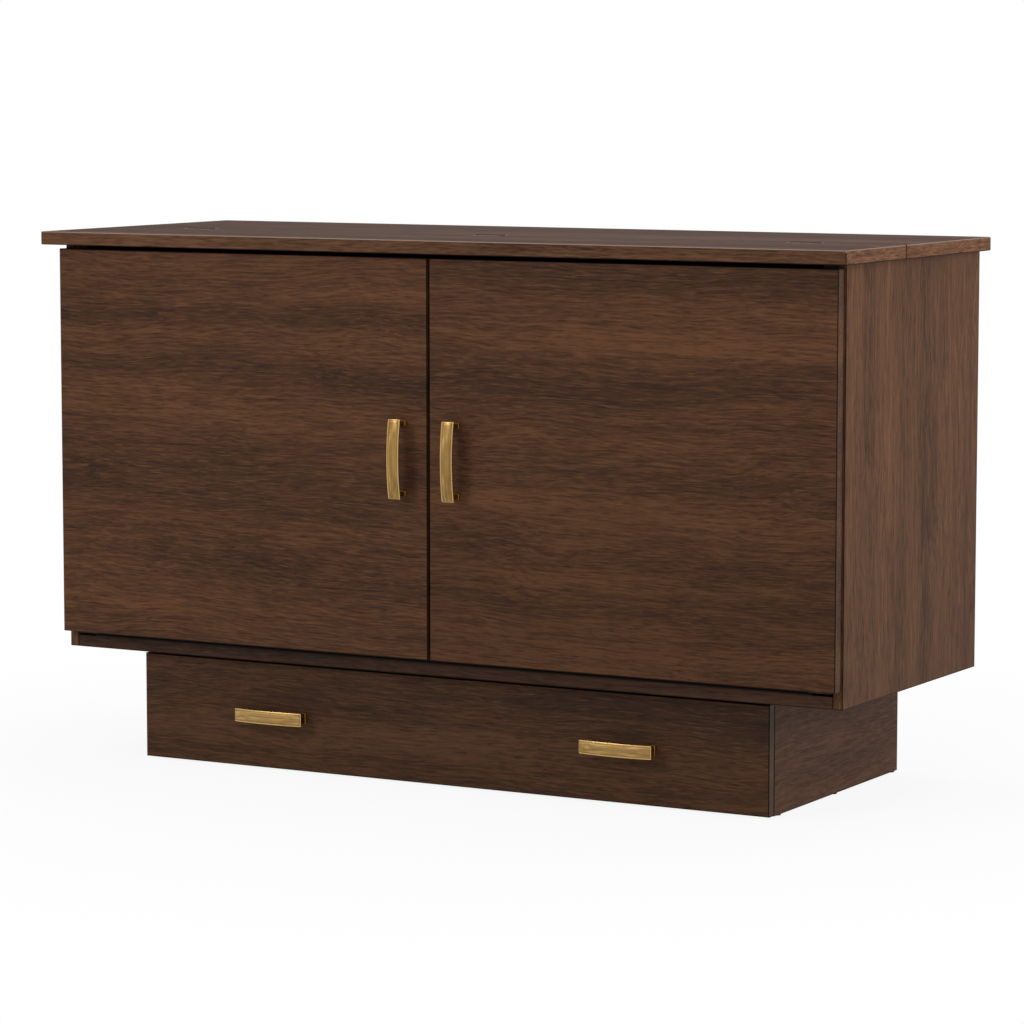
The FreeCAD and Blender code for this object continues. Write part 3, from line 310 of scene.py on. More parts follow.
# Tones of the finishes, each dark, middle and light.
FRONT = (srgb(54, 37, 27), srgb(77, 50, 34), srgb(106, 70, 46))
DRAWER = (srgb(47, 33, 24), srgb(67, 45, 31), srgb(92, 62, 42))
CASE = (srgb(66, 46, 34), srgb(91, 62, 44), srgb(119, 81, 56))
# The top's tones carry a grey cast that is painted sheen.
TOP_WITH_PAINTED_SHEEN = (srgb(62, 47, 41), srgb(82, 63, 55), srgb(102, 79, 67))
EDGE = (srgb(92, 64, 48), srgb(124, 89, 68), srgb(152, 113, 87))
LIP = (srgb(58, 41, 32), srgb(83, 58, 43), srgb(111, 78, 57))
# The pedestal sides' walnut, darkened by painted shade under the case.
BASE_WITH_PAINTED_SHADE = (srgb(60, 42, 31), srgb(81, 55, 40), srgb(104, 72, 51))
FLOOR = (srgb(42, 29, 21), srgb(59, 39, 29), srgb(78, 53, 38))
HIDDEN = (srgb(26, 19, 15), srgb(34, 25, 20), srgb(42, 31, 25))
POPLAR = (srgb(170, 140, 98), srgb(196, 166, 122), srgb(214, 188, 146))
BIRCH = (srgb(176, 144, 104), srgb(200, 168, 126), srgb(218, 190, 150))
BOARD = (srgb(62, 46, 37), srgb(78, 58, 46), srgb(92, 70, 56))
BRASS = (srgb(106, 77, 34), srgb(140, 108, 54), srgb(184, 149, 88))
# Lighter copy of BRASS for the drawer pulls: painted light.
BRASS_PAINTED_LIGHTER = (srgb(114, 84, 39), srgb(150, 118, 64), srgb(193, 159, 99))
# The pulls' rim, lighter than their field: painted highlight.
BRASS_RIM_PAINTED_HIGHLIGHT = (srgb(170, 136, 78), srgb(190, 156, 96), srgb(206, 174, 116))
BRASS_LINE = (srgb(98, 71, 34), srgb(114, 85, 44), srgb(126, 96, 52))
# The pulls' posts, darker than the bar: painted shade.
BRASS_POST_PAINTED_SHADE = (srgb(112, 74, 28), srgb(134, 92, 38), srgb(152, 110, 52))
ZINC = (srgb(150, 152, 155), srgb(178, 180, 182), srgb(200, 202, 204))
# Shares of fine strokes, broad strokes and tarnish in the pulls' brushed field.
STRIPED = (0.2, 0.7, 0.1)
# The pale painted highlight along the top's upper arris, and where the top's two leaves meet.
PAINTED_ARRIS_HIGHLIGHT = srgb(150, 128, 116)
SEAM = (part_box("lid_panel")[1].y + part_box("top_rear")[0].y) / 2


def wear(node, material):
    """Gives a carried-over solid its finish."""
    thing = nodes[node]
    thing.data.materials.clear()
    thing.data.materials.append(material)


# The right door face and the side panels are darker towards their bottom.
for index, (node, tones, fade) in enumerate((
        ("door_face_left", FRONT, 1.0), ("door_face_right", FRONT, 0.76), ("drawer_front", DRAWER, 1.0))):
    wear(node, walnut(
        "walnut_" + node, "x", 1.0 + 3.1 * index, tones, node=node, line=(0.0012, 0.12), fade=fade))
for index, side in enumerate(("left", "right")):
    for node, grain, seed, tones, fade in (
            ("side_panel_" + side, "z", 5.2, CASE, 0.89), ("base_side_" + side, "y", 14.6, BASE_WITH_PAINTED_SHADE, 1.0)):
        wear(node, walnut(
            "walnut_" + node, grain, seed + 3.2 * index, tones, shine=0.03, node=node, fade=fade))
wear("carcass_floor", walnut("walnut_floor", "x", 11.3, FLOOR, node="carcass_floor"))
# The top's sheen is painted into its tones, so its own shine is kept low.
for node in ("lid_panel", "top_rear"):
    wear(node, walnut("walnut_" + node, "x", 17.9, TOP_WITH_PAINTED_SHEEN, 0.62, 0.008, node=node, ends=EDGE, front=LIP))
wear("back_panel", walnut("walnut_back", "x", 21.0, BOARD, rough=0.55))
wear("base_back", walnut("walnut_base_back", "x", 23.0, BOARD, rough=0.55))

poplar = {}
birch = {}
for place, axis in enumerate("xyz"):
    poplar[axis] = pale_wood("poplar_" + axis, axis, 2.0 + place, POPLAR)
    birch[axis] = pale_wood("birch_" + axis, axis, 7.0 + place, BIRCH, 0.42)
wear("top_rail", walnut("walnut_rail", "x", 34.0, BOARD, rough=0.6))
wear("front_rail_low", walnut("walnut_low_rail", "x", 37.0, HIDDEN, rough=0.7, shine=0.02))
for node in ("deck_bearers", "front_rail_top", "foot_rail", "foot_legs"):
    wear(node, poplar["x"])
wear("deck_slats", poplar["y"])
wear("corner_blocks", walnut("walnut_blocks", "y", 31.0, BOARD, rough=0.6))
for node in ("front_slats", "foot_slats"):
    wear(node, poplar["z"])
for index, node in enumerate(("front_stile_left", "front_stile_right")):
    wear(node, walnut("walnut_" + node, "z", 41.0 + 2.7 * index, BOARD, rough=0.5, shine=0.05))
for node in ("drawer_side_left", "drawer_side_right", "drawer_brace"):
    wear(node, birch["y"])
for node in ("drawer_back", "drawer_bottom"):
    wear(node, birch["x"])

brass_z = brushed_metal("brass_brushed_z", BRASS, "z", 0.34, STRIPED, 0.4)
# The drawer pulls' brass is lighter than the face pulls' by painted light.
brass_x = brushed_metal("brass_brushed_x_painted_lighter", BRASS_PAINTED_LIGHTER, "x", 0.34, STRIPED, 0.4)
brass_rim_painted_highlight = brushed_metal("brass_rim_painted_highlight", BRASS_RIM_PAINTED_HIGHLIGHT, "y", 0.24, coat=0.4)
brass_line = brushed_metal("brass_line", BRASS_LINE, "y", 0.5)
brass_post_painted_shade = brushed_metal("brass_post_painted_shade", BRASS_POST_PAINTED_SHADE, "y", 0.4)
bronze = speckled("bronze_lacquer", (srgb(70, 52, 42), srgb(92, 70, 57)), 500, 0.5, specular=0.2)
# Near-black steel: the finish of some screws, and painted shade where the front hinge shows in the gap under
# the doors.
dark_steel_and_painted_shadow = speckled("dark_steel_finish_and_painted_shadow", (srgb(20, 14, 11), srgb(31, 23, 18)), 500, 0.6, specular=0.05)
zinc = brushed_metal("zinc_plate", ZINC, "y", 0.34)
rubber = speckled("rubber_black", (srgb(30, 30, 31), srgb(44, 44, 45)), 900, 0.75, bump=0.2)
nylon = speckled("nylon_black", (srgb(34, 34, 36), srgb(50, 50, 52)), 700, 0.5)
felt = felt_cloth("felt_grey", (srgb(52, 50, 47), srgb(74, 71, 66)))
cloth = ticking("ticking_white", srgb(226, 222, 212), srgb(120, 132, 148))
piping = ticking("ticking_piping", srgb(150, 158, 168), srgb(120, 132, 148))
# Dark cross in a screw head: painted shade standing for the recess of its slots.
slot_painted_shade = speckled("screw_slot_painted_shade", (srgb(24, 24, 25), srgb(40, 40, 41)), 600, 0.6)

# The front hinge's leaves are near-black so that they read as the shadow in the gap under the doors: painted
# shade.
for node in ("front_hinge_fixed_leaf", "front_hinge_moving_leaf"):
    wear(node, dark_steel_and_painted_shadow)
for node in ("lid_hinge_front_leaves", "lid_hinge_rear_leaves"):
    wear(node, bronze)
for node in (
        "catch_magnets", "strike_discs", "front_pull_screws", "drawer_pull_screws", "foot_strap",
        "runner_outer_left", "runner_outer_right", "runner_middle_left", "runner_middle_right",
        "runner_inner_left", "runner_inner_right", "wheel_forks"):
    wear(node, zinc)
for node in ("face_bumpers", "foot_leg_tips"):
    wear(node, rubber)
for node in ("base_glides", "wheel_left", "wheel_right"):
    wear(node, nylon)
wear("deck_rest_strips", felt)
for node in ("mattress_front", "mattress_middle", "mattress_rear"):
    wear(node, cloth)
for node in ("front_pull_left", "front_pull_right"):
    wear(node, brass_z)
for node in ("drawer_pull_left", "drawer_pull_right"):
    wear(node, brass_x)


# ------------------------------------------------------------------ mesh helpers
def piece(name, build, material, body):
    """Makes an object from a bmesh, gives it a finish and lets it ride on a body."""
    mesh = bpy.data.meshes.new(name)
    bmesh.ops.recalc_face_normals(build, faces=build.faces)
    build.to_mesh(mesh)
    build.free()
    made = bpy.data.objects.new(name, mesh)
    bpy.context.scene.collection.objects.link(made)
    mesh.materials.append(material)
    for face in mesh.polygons:
        face.use_smooth = True
    mesh.set_sharp_from_angle(angle=math.radians(38))
    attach(made, body)
    return made


def loft(build, rings, closed=False):
    """Skins a list of equal rings of points, capped at both ends or closed into a loop."""
    made = [[build.verts.new(point) for point in ring] for ring in rings]
    count = len(rings[0])
    pairs = len(made) if closed else len(made) - 1
    for index in range(pairs):
        here, there = made[index], made[(index + 1) % len(made)]
        for k in range(count):
            build.faces.new((here[k], here[(k + 1) % count], there[(k + 1) % count], there[k]))
    if not closed:
        build.faces.new(list(reversed(made[0])))
        build.faces.new(made[-1])


def lathe(build, place, axis, profile, count=20):
    """Turned shape: profile is a list of (distance along the axis, radius)."""
    axis = Vector(axis).normalized()
    side = axis.orthogonal().normalized()
    other = axis.cross(side)
    rings = []
    for along, radius in profile:
        ring = []
        for step in range(count):
            turn = 2 * math.pi * step / count
            spoke = side * math.cos(turn) + other * math.sin(turn)
            ring.append(Vector(place) + axis * along + spoke * max(radius, 1e-5))
        rings.append(ring)
    loft(build, rings)


def slab(build, low, high):
    """Box between two corners."""
    made = bmesh.ops.create_cube(build, size=1.0)
    for vert in made["verts"]:
        vert.co = Vector((low[k] + (vert.co[k] + 0.5) * (high[k] - low[k]) for k in range(3)))


# ------------------------------------------------------------------ pulls
PULL_LENGTH = 0.146
PULL_WIDTH = 0.025
PULL_THICK = 0.004
# How far the bar's ends and its middle stand off the board.
PULL_END = 0.0274
PULL_MIDDLE = 0.034
# Distance between the posts, and a post's size across and along the bar.
PULL_POSTS = 0.128
PULL_POST_WIDE = 0.02
PULL_POST_LONG = 0.01
# Rim, inlaid line and field: how much each is trimmed, its outer and inner depth, and its eased edge.
PULL_LAYERS = (
    (0.0, 0.0004, PULL_THICK, 0.0009), (0.0046, 0.0003, 0.0018, 0.0001), (0.0064, 0.0, 0.0018, 0.0003))
# Places of the pulls: from the middle, the front of their board, and their height.
FACE_PULL_X, FACE_PULL_Y, FACE_PULL_Z = 0.056, -0.2915, 0.611
DRAWER_PULL_X, DRAWER_PULL_Y, DRAWER_PULL_Z = 0.367, -0.2355, 0.105


def pull(name, node, body, board_y, centre, upright, field):
    """Bowed brass bar with an inlaid line round a brushed field, on two flat posts."""
    rise = PULL_MIDDLE - PULL_END
    half = PULL_LENGTH / 2
    bow = (half * half + rise * rise) / (2 * rise)
    build = bmesh.new()

    def point(along, across, depth):
        """Position on the bar; depth is measured inwards from the outer arc."""
        out = math.sqrt((bow - depth) ** 2 - along * along) - (bow - PULL_MIDDLE)
        if upright:
            return Vector((centre[0] + across, board_y - out, centre[1] + along))
        return Vector((centre[0] + along, board_y - out, centre[1] + across))

    def bar(length, width, outer, inner, ease):
        """One layer of the bar, with eased edges and ends."""
        w, e = width / 2, ease
        section = [
            (-w, inner - e), (-w + e * 0.3, inner - e * 0.3), (-w + e, inner),
            (w - e, inner), (w - e * 0.3, inner - e * 0.3), (w, inner - e),
            (w, outer + e), (w - e * 0.3, outer + e * 0.3), (w - e, outer),
            (-w + e, outer), (-w + e * 0.3, outer + e * 0.3), (-w, outer + e),
        ]
        steps = 40
        stations = [(-length / 2, 1.0), (-length / 2 + ease * 0.3, 0.3), (-length / 2 + ease, 0.0)]
        inner_half = length / 2 - ease
        for step in range(1, steps):
            stations.append((-inner_half + 2 * inner_half * step / steps, 0.0))
        stations += [(length / 2 - ease, 0.0), (length / 2 - ease * 0.3, 0.3), (length / 2, 1.0)]
        middle = (outer + inner) / 2
        rings = []
        for along, pinch in stations:
            ring = []
            for across, depth in section:
                shrink = pinch * ease
                across = math.copysign(max(abs(across) - shrink, 0.0), across)
                depth = middle + math.copysign(max(abs(depth - middle) - shrink, 0.0), depth - middle)
                ring.append(point(along, across, depth))
            rings.append(ring)
        loft(build, rings)

    parts = []
    for trim, outer, inner, ease in PULL_LAYERS:
        bar(PULL_LENGTH - 0.6 * trim, PULL_WIDTH - trim, outer, inner, ease)
        parts.append(len(build.faces))
    for sign in (-1, 1):
        along = sign * PULL_POSTS / 2
        foot = point(along, 0.0, 0.0)
        foot.y = board_y
        reach = math.sqrt(bow ** 2 - along * along) - (bow - PULL_MIDDLE) - PULL_THICK + 0.0006
        rings = []
        steps = (
            (0.0, -0.0006), (0.0005, 0.0), (0.0035, 0.0), (0.0045, -0.0008),
            (reach - 0.004, -0.0008), (reach - 0.0015, 0.0), (reach, 0.0))
        for out, grow in steps:
            w, t = PULL_POST_WIDE / 2 + grow, PULL_POST_LONG / 2 + grow
            if not upright:
                w, t = t, w
            e = 0.0008
            corners = (
                (w, t - e), (w - e, t), (e - w, t), (-w, t - e),
                (-w, e - t), (e - w, -t), (w - e, -t), (w, e - t))
            rings.append([Vector((foot.x + x, board_y - out, foot.z + z)) for x, z in corners])
        loft(build, rings)
    # The rim's lighter finish is a painted highlight.
    made = piece(name, build, brass_rim_painted_highlight, body)
    # The posts' darker finish is painted shade.
    for finish in (brass_line, field, brass_post_painted_shade):
        made.data.materials.append(finish)
    for face in made.data.polygons:
        face.material_index = sum(face.index >= last for last in parts)
    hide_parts(node)


for side, sign in (("left", -1), ("right", 1)):
    pull(
        "pull_face_" + side, "front_pull_" + side, "front", FACE_PULL_Y,
        (sign * FACE_PULL_X, FACE_PULL_Z), True, brass_z)
    pull(
        "pull_drawer_" + side, "drawer_pull_" + side, "drawer", DRAWER_PULL_Y,
        (sign * DRAWER_PULL_X, DRAWER_PULL_Z), False, brass_x)


# ------------------------------------------------------------------ fasteners and small turned parts
def spread(first, last, count):
    """Evenly spaced places from first to last."""
    return [first + (last - first) * step / (count - 1) for step in range(count)]


def heads(name, body, spots, facing, radius=0.0034, rise=0.0009, metal=None):
    """Cross-head screws seated on a surface that faces along one axis."""
    facing = Vector(facing)
    build = bmesh.new()
    profile = [
        (-0.0003, 0.0), (-0.0003, radius), (rise * 0.45, radius * 0.97), (rise * 0.85, radius * 0.8),
        (rise, radius * 0.56), (rise, radius * 0.3), (rise - 0.0006, radius * 0.16), (rise - 0.0006, 0.0)]
    for spot in spots:
        lathe(build, spot, facing, profile, 16)
    turned = len(build.faces)
    # The cross is two thin slabs at the head's top, finished dark: painted shade standing for the recess.
    across = [axis for axis in range(3) if abs(facing[axis]) < 0.5]
    depth = 0.00014
    for spot in spots:
        centre = Vector(spot) + facing * (rise - 0.0001)
        for long_way in across:
            reach = Vector((depth, depth, depth))
            for axis in across:
                reach[axis] = radius * (0.62 if axis == long_way else 0.13)
            slab(build, centre - reach, centre + reach)
    made = piece(name, build, metal or zinc, body)
    made.data.materials.append(slot_painted_shade)
    for face in made.data.polygons:
        face.material_index = int(face.index >= turned)


def solids(node):
    """Boxes of a node's separate solids, left to right."""
    build = bmesh.new()
    build.from_mesh(nodes[node].data)
    bmesh.ops.remove_doubles(build, verts=build.verts, dist=1e-5)
    left = set(build.verts)
    boxes = []
    while left:
        group = [left.pop()]
        for vert in group:
            for edge in vert.link_edges:
                other = edge.other_vert(vert)
                if other in left:
                    left.remove(other)
                    group.append(other)
        corners = [[pick(vert.co[axis] for vert in group) for axis in range(3)] for pick in (min, max)]
        boxes.append((Vector(corners[0]), Vector(corners[1])))
    build.free()
    return sorted(boxes, key=lambda box: tuple(box[0]))


def middle_of(box):
    """Centre of a box given by its two corners."""
    return (Vector(box[0]) + Vector(box[1])) / 2


# Thickness of a hinge leaf and of a runner's wall.
LEAF = 0.0012

# Back panel: into the side panels' rebates and the carcass floor.
low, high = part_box("back_panel")
rim_x, floor_z = high.x - 0.006, (low.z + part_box("carcass_floor")[1].z) / 2
spots = [(side * rim_x, high.y, z) for side in (-1, 1) for z in spread(low.z + 0.05, high.z - 0.05, 5)]
spots += [(x, high.y, floor_z) for x in spread(-rim_x + 0.2, rim_x - 0.2, 5)]
heads("screws_back_panel", "cabinet", spots, (0, 1, 0), metal=dark_steel_and_painted_shadow)

# Lid hinges: three screws through each leaf.
top_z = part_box("lid_panel")[1].z
for node, body, side in (("lid_hinge_front_leaves", "lid", -1), ("lid_hinge_rear_leaves", "cabinet", 1)):
    spots = []
    for box in solids(node):
        centre = middle_of(box)
        y = box[0].y + 0.008 if side < 0 else box[1].y - 0.008
        spots += [(x, y, top_z - 0.0002) for x in spread(centre.x - 0.021, centre.x + 0.021, 3)]
    heads("screws_" + node, body, spots, (0, 0, 1), 0.0028, 0.0004, bronze)

# Long hinge of the drop front.
low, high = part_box("front_hinge_fixed_leaf")
hinge_x = spread(low.x + 0.03, high.x - 0.03, 11)
leaf_y = high.y - 0.009
spots = [(x, leaf_y, low.z + LEAF) for x in hinge_x]
# These screws share the hinge's near-black finish, painted shade in the gap.
heads("screws_fixed_leaf", "cabinet", spots, (0, 0, 1), 0.0026, 0.0003, dark_steel_and_painted_shadow)
spots = [(x, leaf_y, high.z - LEAF) for x in hinge_x]
heads("screws_moving_leaf", "front", spots, (0, 0, -1), 0.0026, 0.0003, dark_steel_and_painted_shadow)

# Corner blocks, top rail and deck slats.
for box, side, inwards in zip(solids("corner_blocks"), ("left", "right"), (1, -1)):
    face_x = box[1].x if inwards > 0 else box[0].x
    spots = [(face_x, y, middle_of(box).z) for y in spread(box[0].y + 0.027, box[1].y - 0.008, 2)]
    heads("screws_block_" + side, "cabinet", spots, (inwards, 0, 0))
low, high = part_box("top_rail")
spots = [(x, (low.y + high.y) / 2, low.z) for x in spread(-0.7, 0.7, 6)]
heads("screws_top_rail", "cabinet", spots, (0, 0, -1))
bearers = solids("deck_bearers")
spots = []
for box in solids("deck_slats"):
    for bearer in (bearers[0], bearers[-1]):
        y = middle_of(bearer).y
        spots += [(middle_of(box).x + shift, y, box[1].z) for shift in (-0.018, 0.018)]
heads("screws_deck_slats", "cabinet", spots, (0, 0, 1), 0.0032, 0.0002)

# Fixed slats on the upper rail, and the strap that ties the moving slats.
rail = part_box("front_rail_top")
spots = [
    (middle_of(box).x + shift, box[1].y, rail[1].z - 0.0065)
    for box in solids("front_slats") for shift in (-0.014, 0.014)]
heads("screws_front_slats", "front", spots, (0, 1, 0), 0.0032)
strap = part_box("foot_strap")
spots = [(middle_of(box).x, strap[1].y, (strap[0].z + strap[1].z) / 2) for box in solids("foot_slats")]
heads("screws_strap", "foot", spots, (0, 1, 0), 0.0036)

# Drawer: sides to back, runners to sides, wheel forks.
for side, sign in (("left", -1), ("right", 1)):
    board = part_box("drawer_side_" + side)
    face_x = board[0].x if sign < 0 else board[1].x
    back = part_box("drawer_back")
    rows = (back[0].z + 0.02, back[1].z - 0.06, back[1].z - 0.02)
    spots = [(face_x, (back[0].y + back[1].y) / 2, z) for z in rows]
    heads("screws_drawer_" + side, "drawer", spots, (sign, 0, 0))
    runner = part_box("runner_inner_" + side)
    centre_z = (runner[0].z + runner[1].z) / 2
    spots = [(face_x + sign * LEAF, y, centre_z) for y in spread(runner[0].y + 0.04, runner[1].y - 0.04, 3)]
    heads("screws_runner_" + side, "drawer", spots, (sign, 0, 0), 0.0034, 0.0011)
rivet = [
    (-0.0002, 0.0), (-0.0002, 0.0044), (0.0006, 0.0042), (0.0012, 0.0031), (0.0015, 0.0014), (0.0015, 0.0)]
for box, side in zip(solids("wheel_forks"), ("left", "right")):
    axle = middle_of(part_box("wheel_" + side))
    build = bmesh.new()
    for sign, face_x in ((-1, box[0].x), (1, box[1].x)):
        lathe(build, (face_x, axle.y, axle.z), (sign, 0, 0), rivet, 20)
    piece("axle_rivets_" + side, build, zinc, "drawer")

# Domed bumpers on the side panels' front edges.
build = bmesh.new()
for box in solids("face_bumpers"):
    centre = middle_of(box)
    reach = box[1].y - box[0].y
    radius = (box[1].x - box[0].x) / 2
    profile = [(0.0, 0.0), (0.0, radius)]
    profile += [
        (reach * (0.35 + 0.65 * math.sin(turn)), radius * (0.35 + 0.62 * math.cos(turn)))
        for turn in (math.radians(angle) for angle in range(0, 91, 15))]
    lathe(build, (centre.x, box[1].y, centre.z), (0, -1, 0), profile + [(reach, 0.0)], 24)
bumpers = piece("bumper_domes", build, rubber, "cabinet")
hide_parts("face_bumpers")


# ------------------------------------------------------------------ mattress
# How far a section's seams lie inside its solid's box, the easing of its faces and its outline's step.
SLACK = 0.007
PAD_EASE = 0.022
PAD_STEP = 0.03
# Frames of the cloth simulation, and the furthest that it may move a point.
CROWN_FRAMES = 20
CROWN_LIMIT = 0.012
# Quilting: size of the diamonds, and depths of the stitching and of the hollow beside it.
QUILT_PITCH = 0.127
QUILT_STITCH = 0.0035
QUILT_HOLLOW = 0.0022
PIPING_RADIUS = 0.0034


def rounded_outline(width, height, radius, step):
    """Points of a rounded rectangle about the middle; the straights are cut into steps."""
    points = []
    w, h = width / 2 - radius, height / 2 - radius
    corners = ((w, h, 0), (-w, h, 90), (-w, -h, 180), (w, -h, 270))
    for index, (cx, cz, start) in enumerate(corners):
        for part in range(7):
            turn = math.radians(start + part * 15)
            points.append((cx + radius * math.cos(turn), cz + radius * math.sin(turn)))
        nx, nz, begin = corners[(index + 1) % 4]
        turn = math.radians(begin)
        last, target = points[-1], (nx + radius * math.cos(turn), nz + radius * math.sin(turn))
        length = math.dist(last, target)
        count = max(1, round(length / step))
        for part in range(1, count):
            share = part / count
            x = last[0] + (target[0] - last[0]) * share
            points.append((x, last[1] + (target[1] - last[1]) * share))
    return points


def points_of(mesh):
    """Vertices of a mesh, one row each."""
    points = np.empty(len(mesh.vertices) * 3)
    mesh.vertices.foreach_get("co", points)
    return points.reshape(-1, 3)


def place_points(mesh, points):
    mesh.vertices.foreach_set("co", points.ravel())
    mesh.update()


def applied(thing, modifier):
    """Turns what a modifier makes into the mesh itself."""
    bpy.context.view_layer.objects.active = thing
    bpy.ops.object.modifier_apply(modifier=modifier.name)


def crown(pad, middle, width, height, half):
    """Swells the shell by air pressure between its held seams, and limits how far a point goes."""
    start = points_of(pad.data)
    edge_y = np.abs(np.abs(start[:, 1] - middle.y) - (half - 0.004)) < 0.012
    rim = np.abs(start[:, 0] - middle.x) > width / 2 - SLACK - 0.03
    rim |= np.abs(start[:, 2] - middle.z) > height / 2 - SLACK - 0.03
    seam = pad.vertex_groups.new(name="seam")
    seam.add([int(k) for k in np.nonzero(edge_y & rim)[0]], 1.0, "REPLACE")
    swell = pad.modifiers.new("swell", "CLOTH")
    swell.settings.quality = 4
    swell.settings.mass = 0.25
    swell.settings.use_pressure = True
    swell.settings.uniform_pressure_force = 5.0
    swell.settings.tension_stiffness = 12
    swell.settings.compression_stiffness = 12
    swell.settings.bending_stiffness = 4
    swell.settings.effector_weights.gravity = 0
    swell.settings.vertex_group_mass = "seam"
    swell.collision_settings.use_self_collision = False
    for count in range(1, CROWN_FRAMES + 1):
        bpy.context.scene.frame_set(count)
    applied(pad, swell)
    bpy.context.scene.frame_set(1)
    step = points_of(pad.data) - start
    size = np.linalg.norm(step, axis=1, keepdims=True)
    place_points(pad.data, start + step * np.minimum(1.0, CROWN_LIMIT / np.maximum(size, 1e-9)))


def quilt(pad, low, high, middle, width, height, half):
    """Presses a diamond quilting into both faces and keeps the pad inside the box of its solid."""
    points = points_of(pad.data)
    x, y, z = (points[:, k] - middle[k] for k in range(3))
    face = np.clip((np.abs(y) - (half - 0.03)) / 0.02, 0, 1)
    rim = np.minimum(width / 2 - np.abs(x), height / 2 - np.abs(z))
    face *= np.clip((rim - 0.035) / 0.03, 0, 1)
    first = np.abs(((x + z) / QUILT_PITCH) % 1.0 - 0.5)
    second = np.abs(((x - z) / QUILT_PITCH) % 1.0 - 0.5)
    near = np.minimum(0.5 - first, 0.5 - second) * QUILT_PITCH
    groove = np.exp(-(near / 0.007) ** 2)
    puff = np.sqrt(np.clip(near / (QUILT_PITCH / 2), 0, 1))
    points[:, 1] -= np.sign(y) * face * (QUILT_STITCH * groove + QUILT_HOLLOW * (1 - puff))
    limit_low = np.array(low) + np.array((0.0, -0.003, 0.0008))
    limit_high = np.array(high) + np.array((0.0, 0.003, 0.0))
    place_points(pad.data, np.clip(points, limit_low, limit_high))


def piped(name, middle, width, height, half):
    """Piped seams round both faces."""
    build = bmesh.new()
    inset = 2 * SLACK + 0.004
    outline = rounded_outline(width - inset, height - inset, 0.048, PAD_STEP)
    for sign in (-1, 1):
        depth = middle.y + sign * (half - 0.006)
        rings = []
        for index, (x, z) in enumerate(outline):
            before, after = outline[index - 1], outline[(index + 1) % len(outline)]
            run = Vector((after[0] - before[0], 0, after[1] - before[1])).normalized()
            out = Vector((run.z, 0, -run.x)) * PIPING_RADIUS
            centre = Vector((middle.x + x, depth, middle.z + z))
            ring = []
            for part in range(8):
                turn = 2 * math.pi * part / 8
                ring.append(centre + out * math.cos(turn) + Vector((0, PIPING_RADIUS, 0)) * math.sin(turn))
            rings.append(ring)
        loft(build, rings, closed=True)
    piece(name, build, piping, "cabinet")


def section(name, node):
    """One padded section: foam block in ticking, crowned by cloth simulation, quilted and piped."""
    low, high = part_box(node)
    middle = middle_of((low, high))
    width, thick, height = (high[k] - low[k] for k in range(3))
    half = thick / 2 - SLACK
    profile = []
    for part in range(7):
        turn = math.radians(90 - part * 15)
        depth = half - PAD_EASE + PAD_EASE * math.sin(turn)
        profile.append((depth, SLACK + PAD_EASE - PAD_EASE * math.cos(turn)))
    rings = []
    for depth, inset in profile + [(-depth, inset) for depth, inset in reversed(profile)]:
        outline = rounded_outline(width - 2 * inset, height - 2 * inset, 0.05, PAD_STEP)
        rings.append([Vector((middle.x + x, middle.y + depth, middle.z + z)) for x, z in outline])
    build = bmesh.new()
    loft(build, rings)
    pad = piece(name, build, cloth, "cabinet")
    remesh = pad.modifiers.new("remesh", "REMESH")
    remesh.mode = "VOXEL"
    remesh.voxel_size = 0.016
    applied(pad, remesh)
    crown(pad, middle, width, height, half)
    finer = pad.modifiers.new("finer", "SUBSURF")
    finer.levels = 1
    applied(pad, finer)
    quilt(pad, low, high, middle, width, height, half)
    for polygon in pad.data.polygons:
        polygon.use_smooth = True
    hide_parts(node)
    piped(name + "_piping", middle, width, height, half)


for place in ("front", "middle", "rear"):
    section("pad_" + place, "mattress_" + place)


# ------------------------------------------------------------------ stage, light, camera
CAMERA_PLACE = (3.63057, -6.50445, 1.31391)
CAMERA_TILT = 83.66655
CAMERA_TURN = 29.09189
CAMERA_LENS = 140.3686


def area(name, place, size, energy):
    """White softbox aimed at the middle of the object."""
    data = bpy.data.lights.new(name, "AREA")
    data.shape = "RECTANGLE"
    data.size, data.size_y = size
    data.energy = energy
    lamp = bpy.data.objects.new(name, data)
    bpy.context.scene.collection.objects.link(lamp)
    lamp.location = place
    aim = Vector((0, 0, 0.5)) - Vector(place)
    lamp.rotation_euler = aim.to_track_quat("-Z", "Y").to_euler()


area("key_softbox", (-2.6, -4.6, 3.0), (1.6, 1.6), 78)
area("side_softbox", (5.2, -0.6, 2.2), (3.2, 3.0), 80)
area("overhead_softbox", (0.0, 0.6, 4.2), (3.4, 2.2), 46)

# World: white where it is looked at, and a dimmer fill light for everything else.
world = bpy.data.worlds.new("studio")
bpy.context.scene.world = world
world.use_nodes = True
sky = world.node_tree
sky.nodes.clear()
path = sky.nodes.new("ShaderNodeLightPath")
seen = sky.nodes.new("ShaderNodeMath")
seen.operation = "MAXIMUM"
sky.links.new(path.outputs["Is Camera Ray"], seen.inputs[0])
sky.links.new(path.outputs["Is Glossy Ray"], seen.inputs[1])
through = sky.nodes.new("ShaderNodeMath")
through.operation = "MAXIMUM"
sky.links.new(seen.outputs[0], through.inputs[0])
sky.links.new(path.outputs["Is Transmission Ray"], through.inputs[1])
lit = sky.nodes.new("ShaderNodeBackground")
lit.inputs["Color"].default_value = (0.96, 0.98, 1.0, 1)
lit.inputs["Strength"].default_value = 0.5
white = sky.nodes.new("ShaderNodeBackground")
white.inputs["Color"].default_value = (1, 1, 1, 1)
white.inputs["Strength"].default_value = 1.0
blend = sky.nodes.new("ShaderNodeMixShader")
sky.links.new(through.outputs[0], blend.inputs[0])
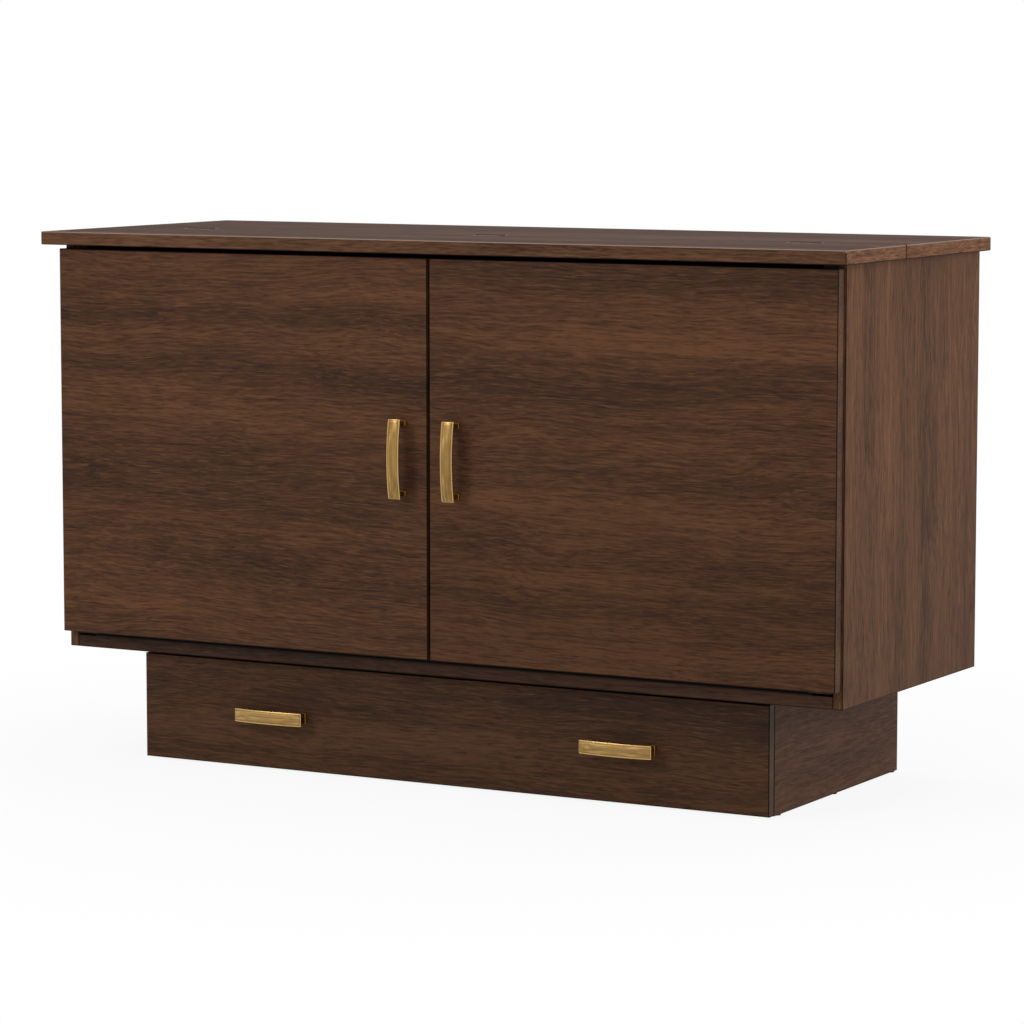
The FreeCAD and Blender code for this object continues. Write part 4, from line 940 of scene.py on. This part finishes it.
sky.links.new(lit.outputs[0], blend.inputs[1])
sky.links.new(white.outputs[0], blend.inputs[2])
sky_out = sky.nodes.new("ShaderNodeOutputWorld")
sky.links.new(blend.outputs[0], sky_out.inputs["Surface"])

# Floor: matt and catching the shadow near the object, white further away.
floor_net = Net("studio_floor")
chalk = floor_net.noise(floor_net.scaled(floor_net.coords(), (1.5, 1.5, 1.5)), 2.0).outputs["Fac"]
tint = floor_net.mix(floor_net.span(chalk, 0.3, 0.7), srgb(246, 246, 245), srgb(250, 250, 250))
matt = floor_net.add("BsdfDiffuse", {"Color": tint})
glow = floor_net.add("Emission", {"Color": (1, 1, 1, 1), "Strength": 1.0})
rays = floor_net.add("LightPath")
seen_rays = floor_net.math("MAXIMUM", rays.outputs["Is Camera Ray"], rays.outputs["Is Glossy Ray"])
seen_rays = floor_net.math("MAXIMUM", seen_rays, rays.outputs["Is Transmission Ray"])
away = floor_net.add("VectorMath", {0: floor_net.coords()}, operation="LENGTH").outputs["Value"]
share = floor_net.math("MULTIPLY", seen_rays, floor_net.span(away, 0.9, 1.8, 0.9, 1.0))
mixed = floor_net.add("MixShader", {0: share, 1: matt.outputs[0], 2: glow.outputs[0]})
floor_net.tree.links.new(mixed.outputs[0], floor_net.out.inputs["Surface"])
build = bmesh.new()
bmesh.ops.create_grid(build, x_segments=8, y_segments=8, size=40.0)
floor_mesh = bpy.data.meshes.new("floor")
build.to_mesh(floor_mesh)
build.free()
floor_mesh.materials.append(floor_net.mat)
floor = bpy.data.objects.new("floor", floor_mesh)
bpy.context.scene.collection.objects.link(floor)

lens = bpy.data.cameras.new("camera")
lens.sensor_width = 36
lens.lens = CAMERA_LENS
lens.clip_start = 0.1
lens.clip_end = 200
camera = bpy.data.objects.new("camera", lens)
bpy.context.scene.collection.objects.link(camera)
camera.location = CAMERA_PLACE
camera.rotation_euler = (math.radians(CAMERA_TILT), 0, math.radians(CAMERA_TURN))
bpy.context.scene.camera = camera

bpy.context.scene.view_settings.view_transform = "Standard"
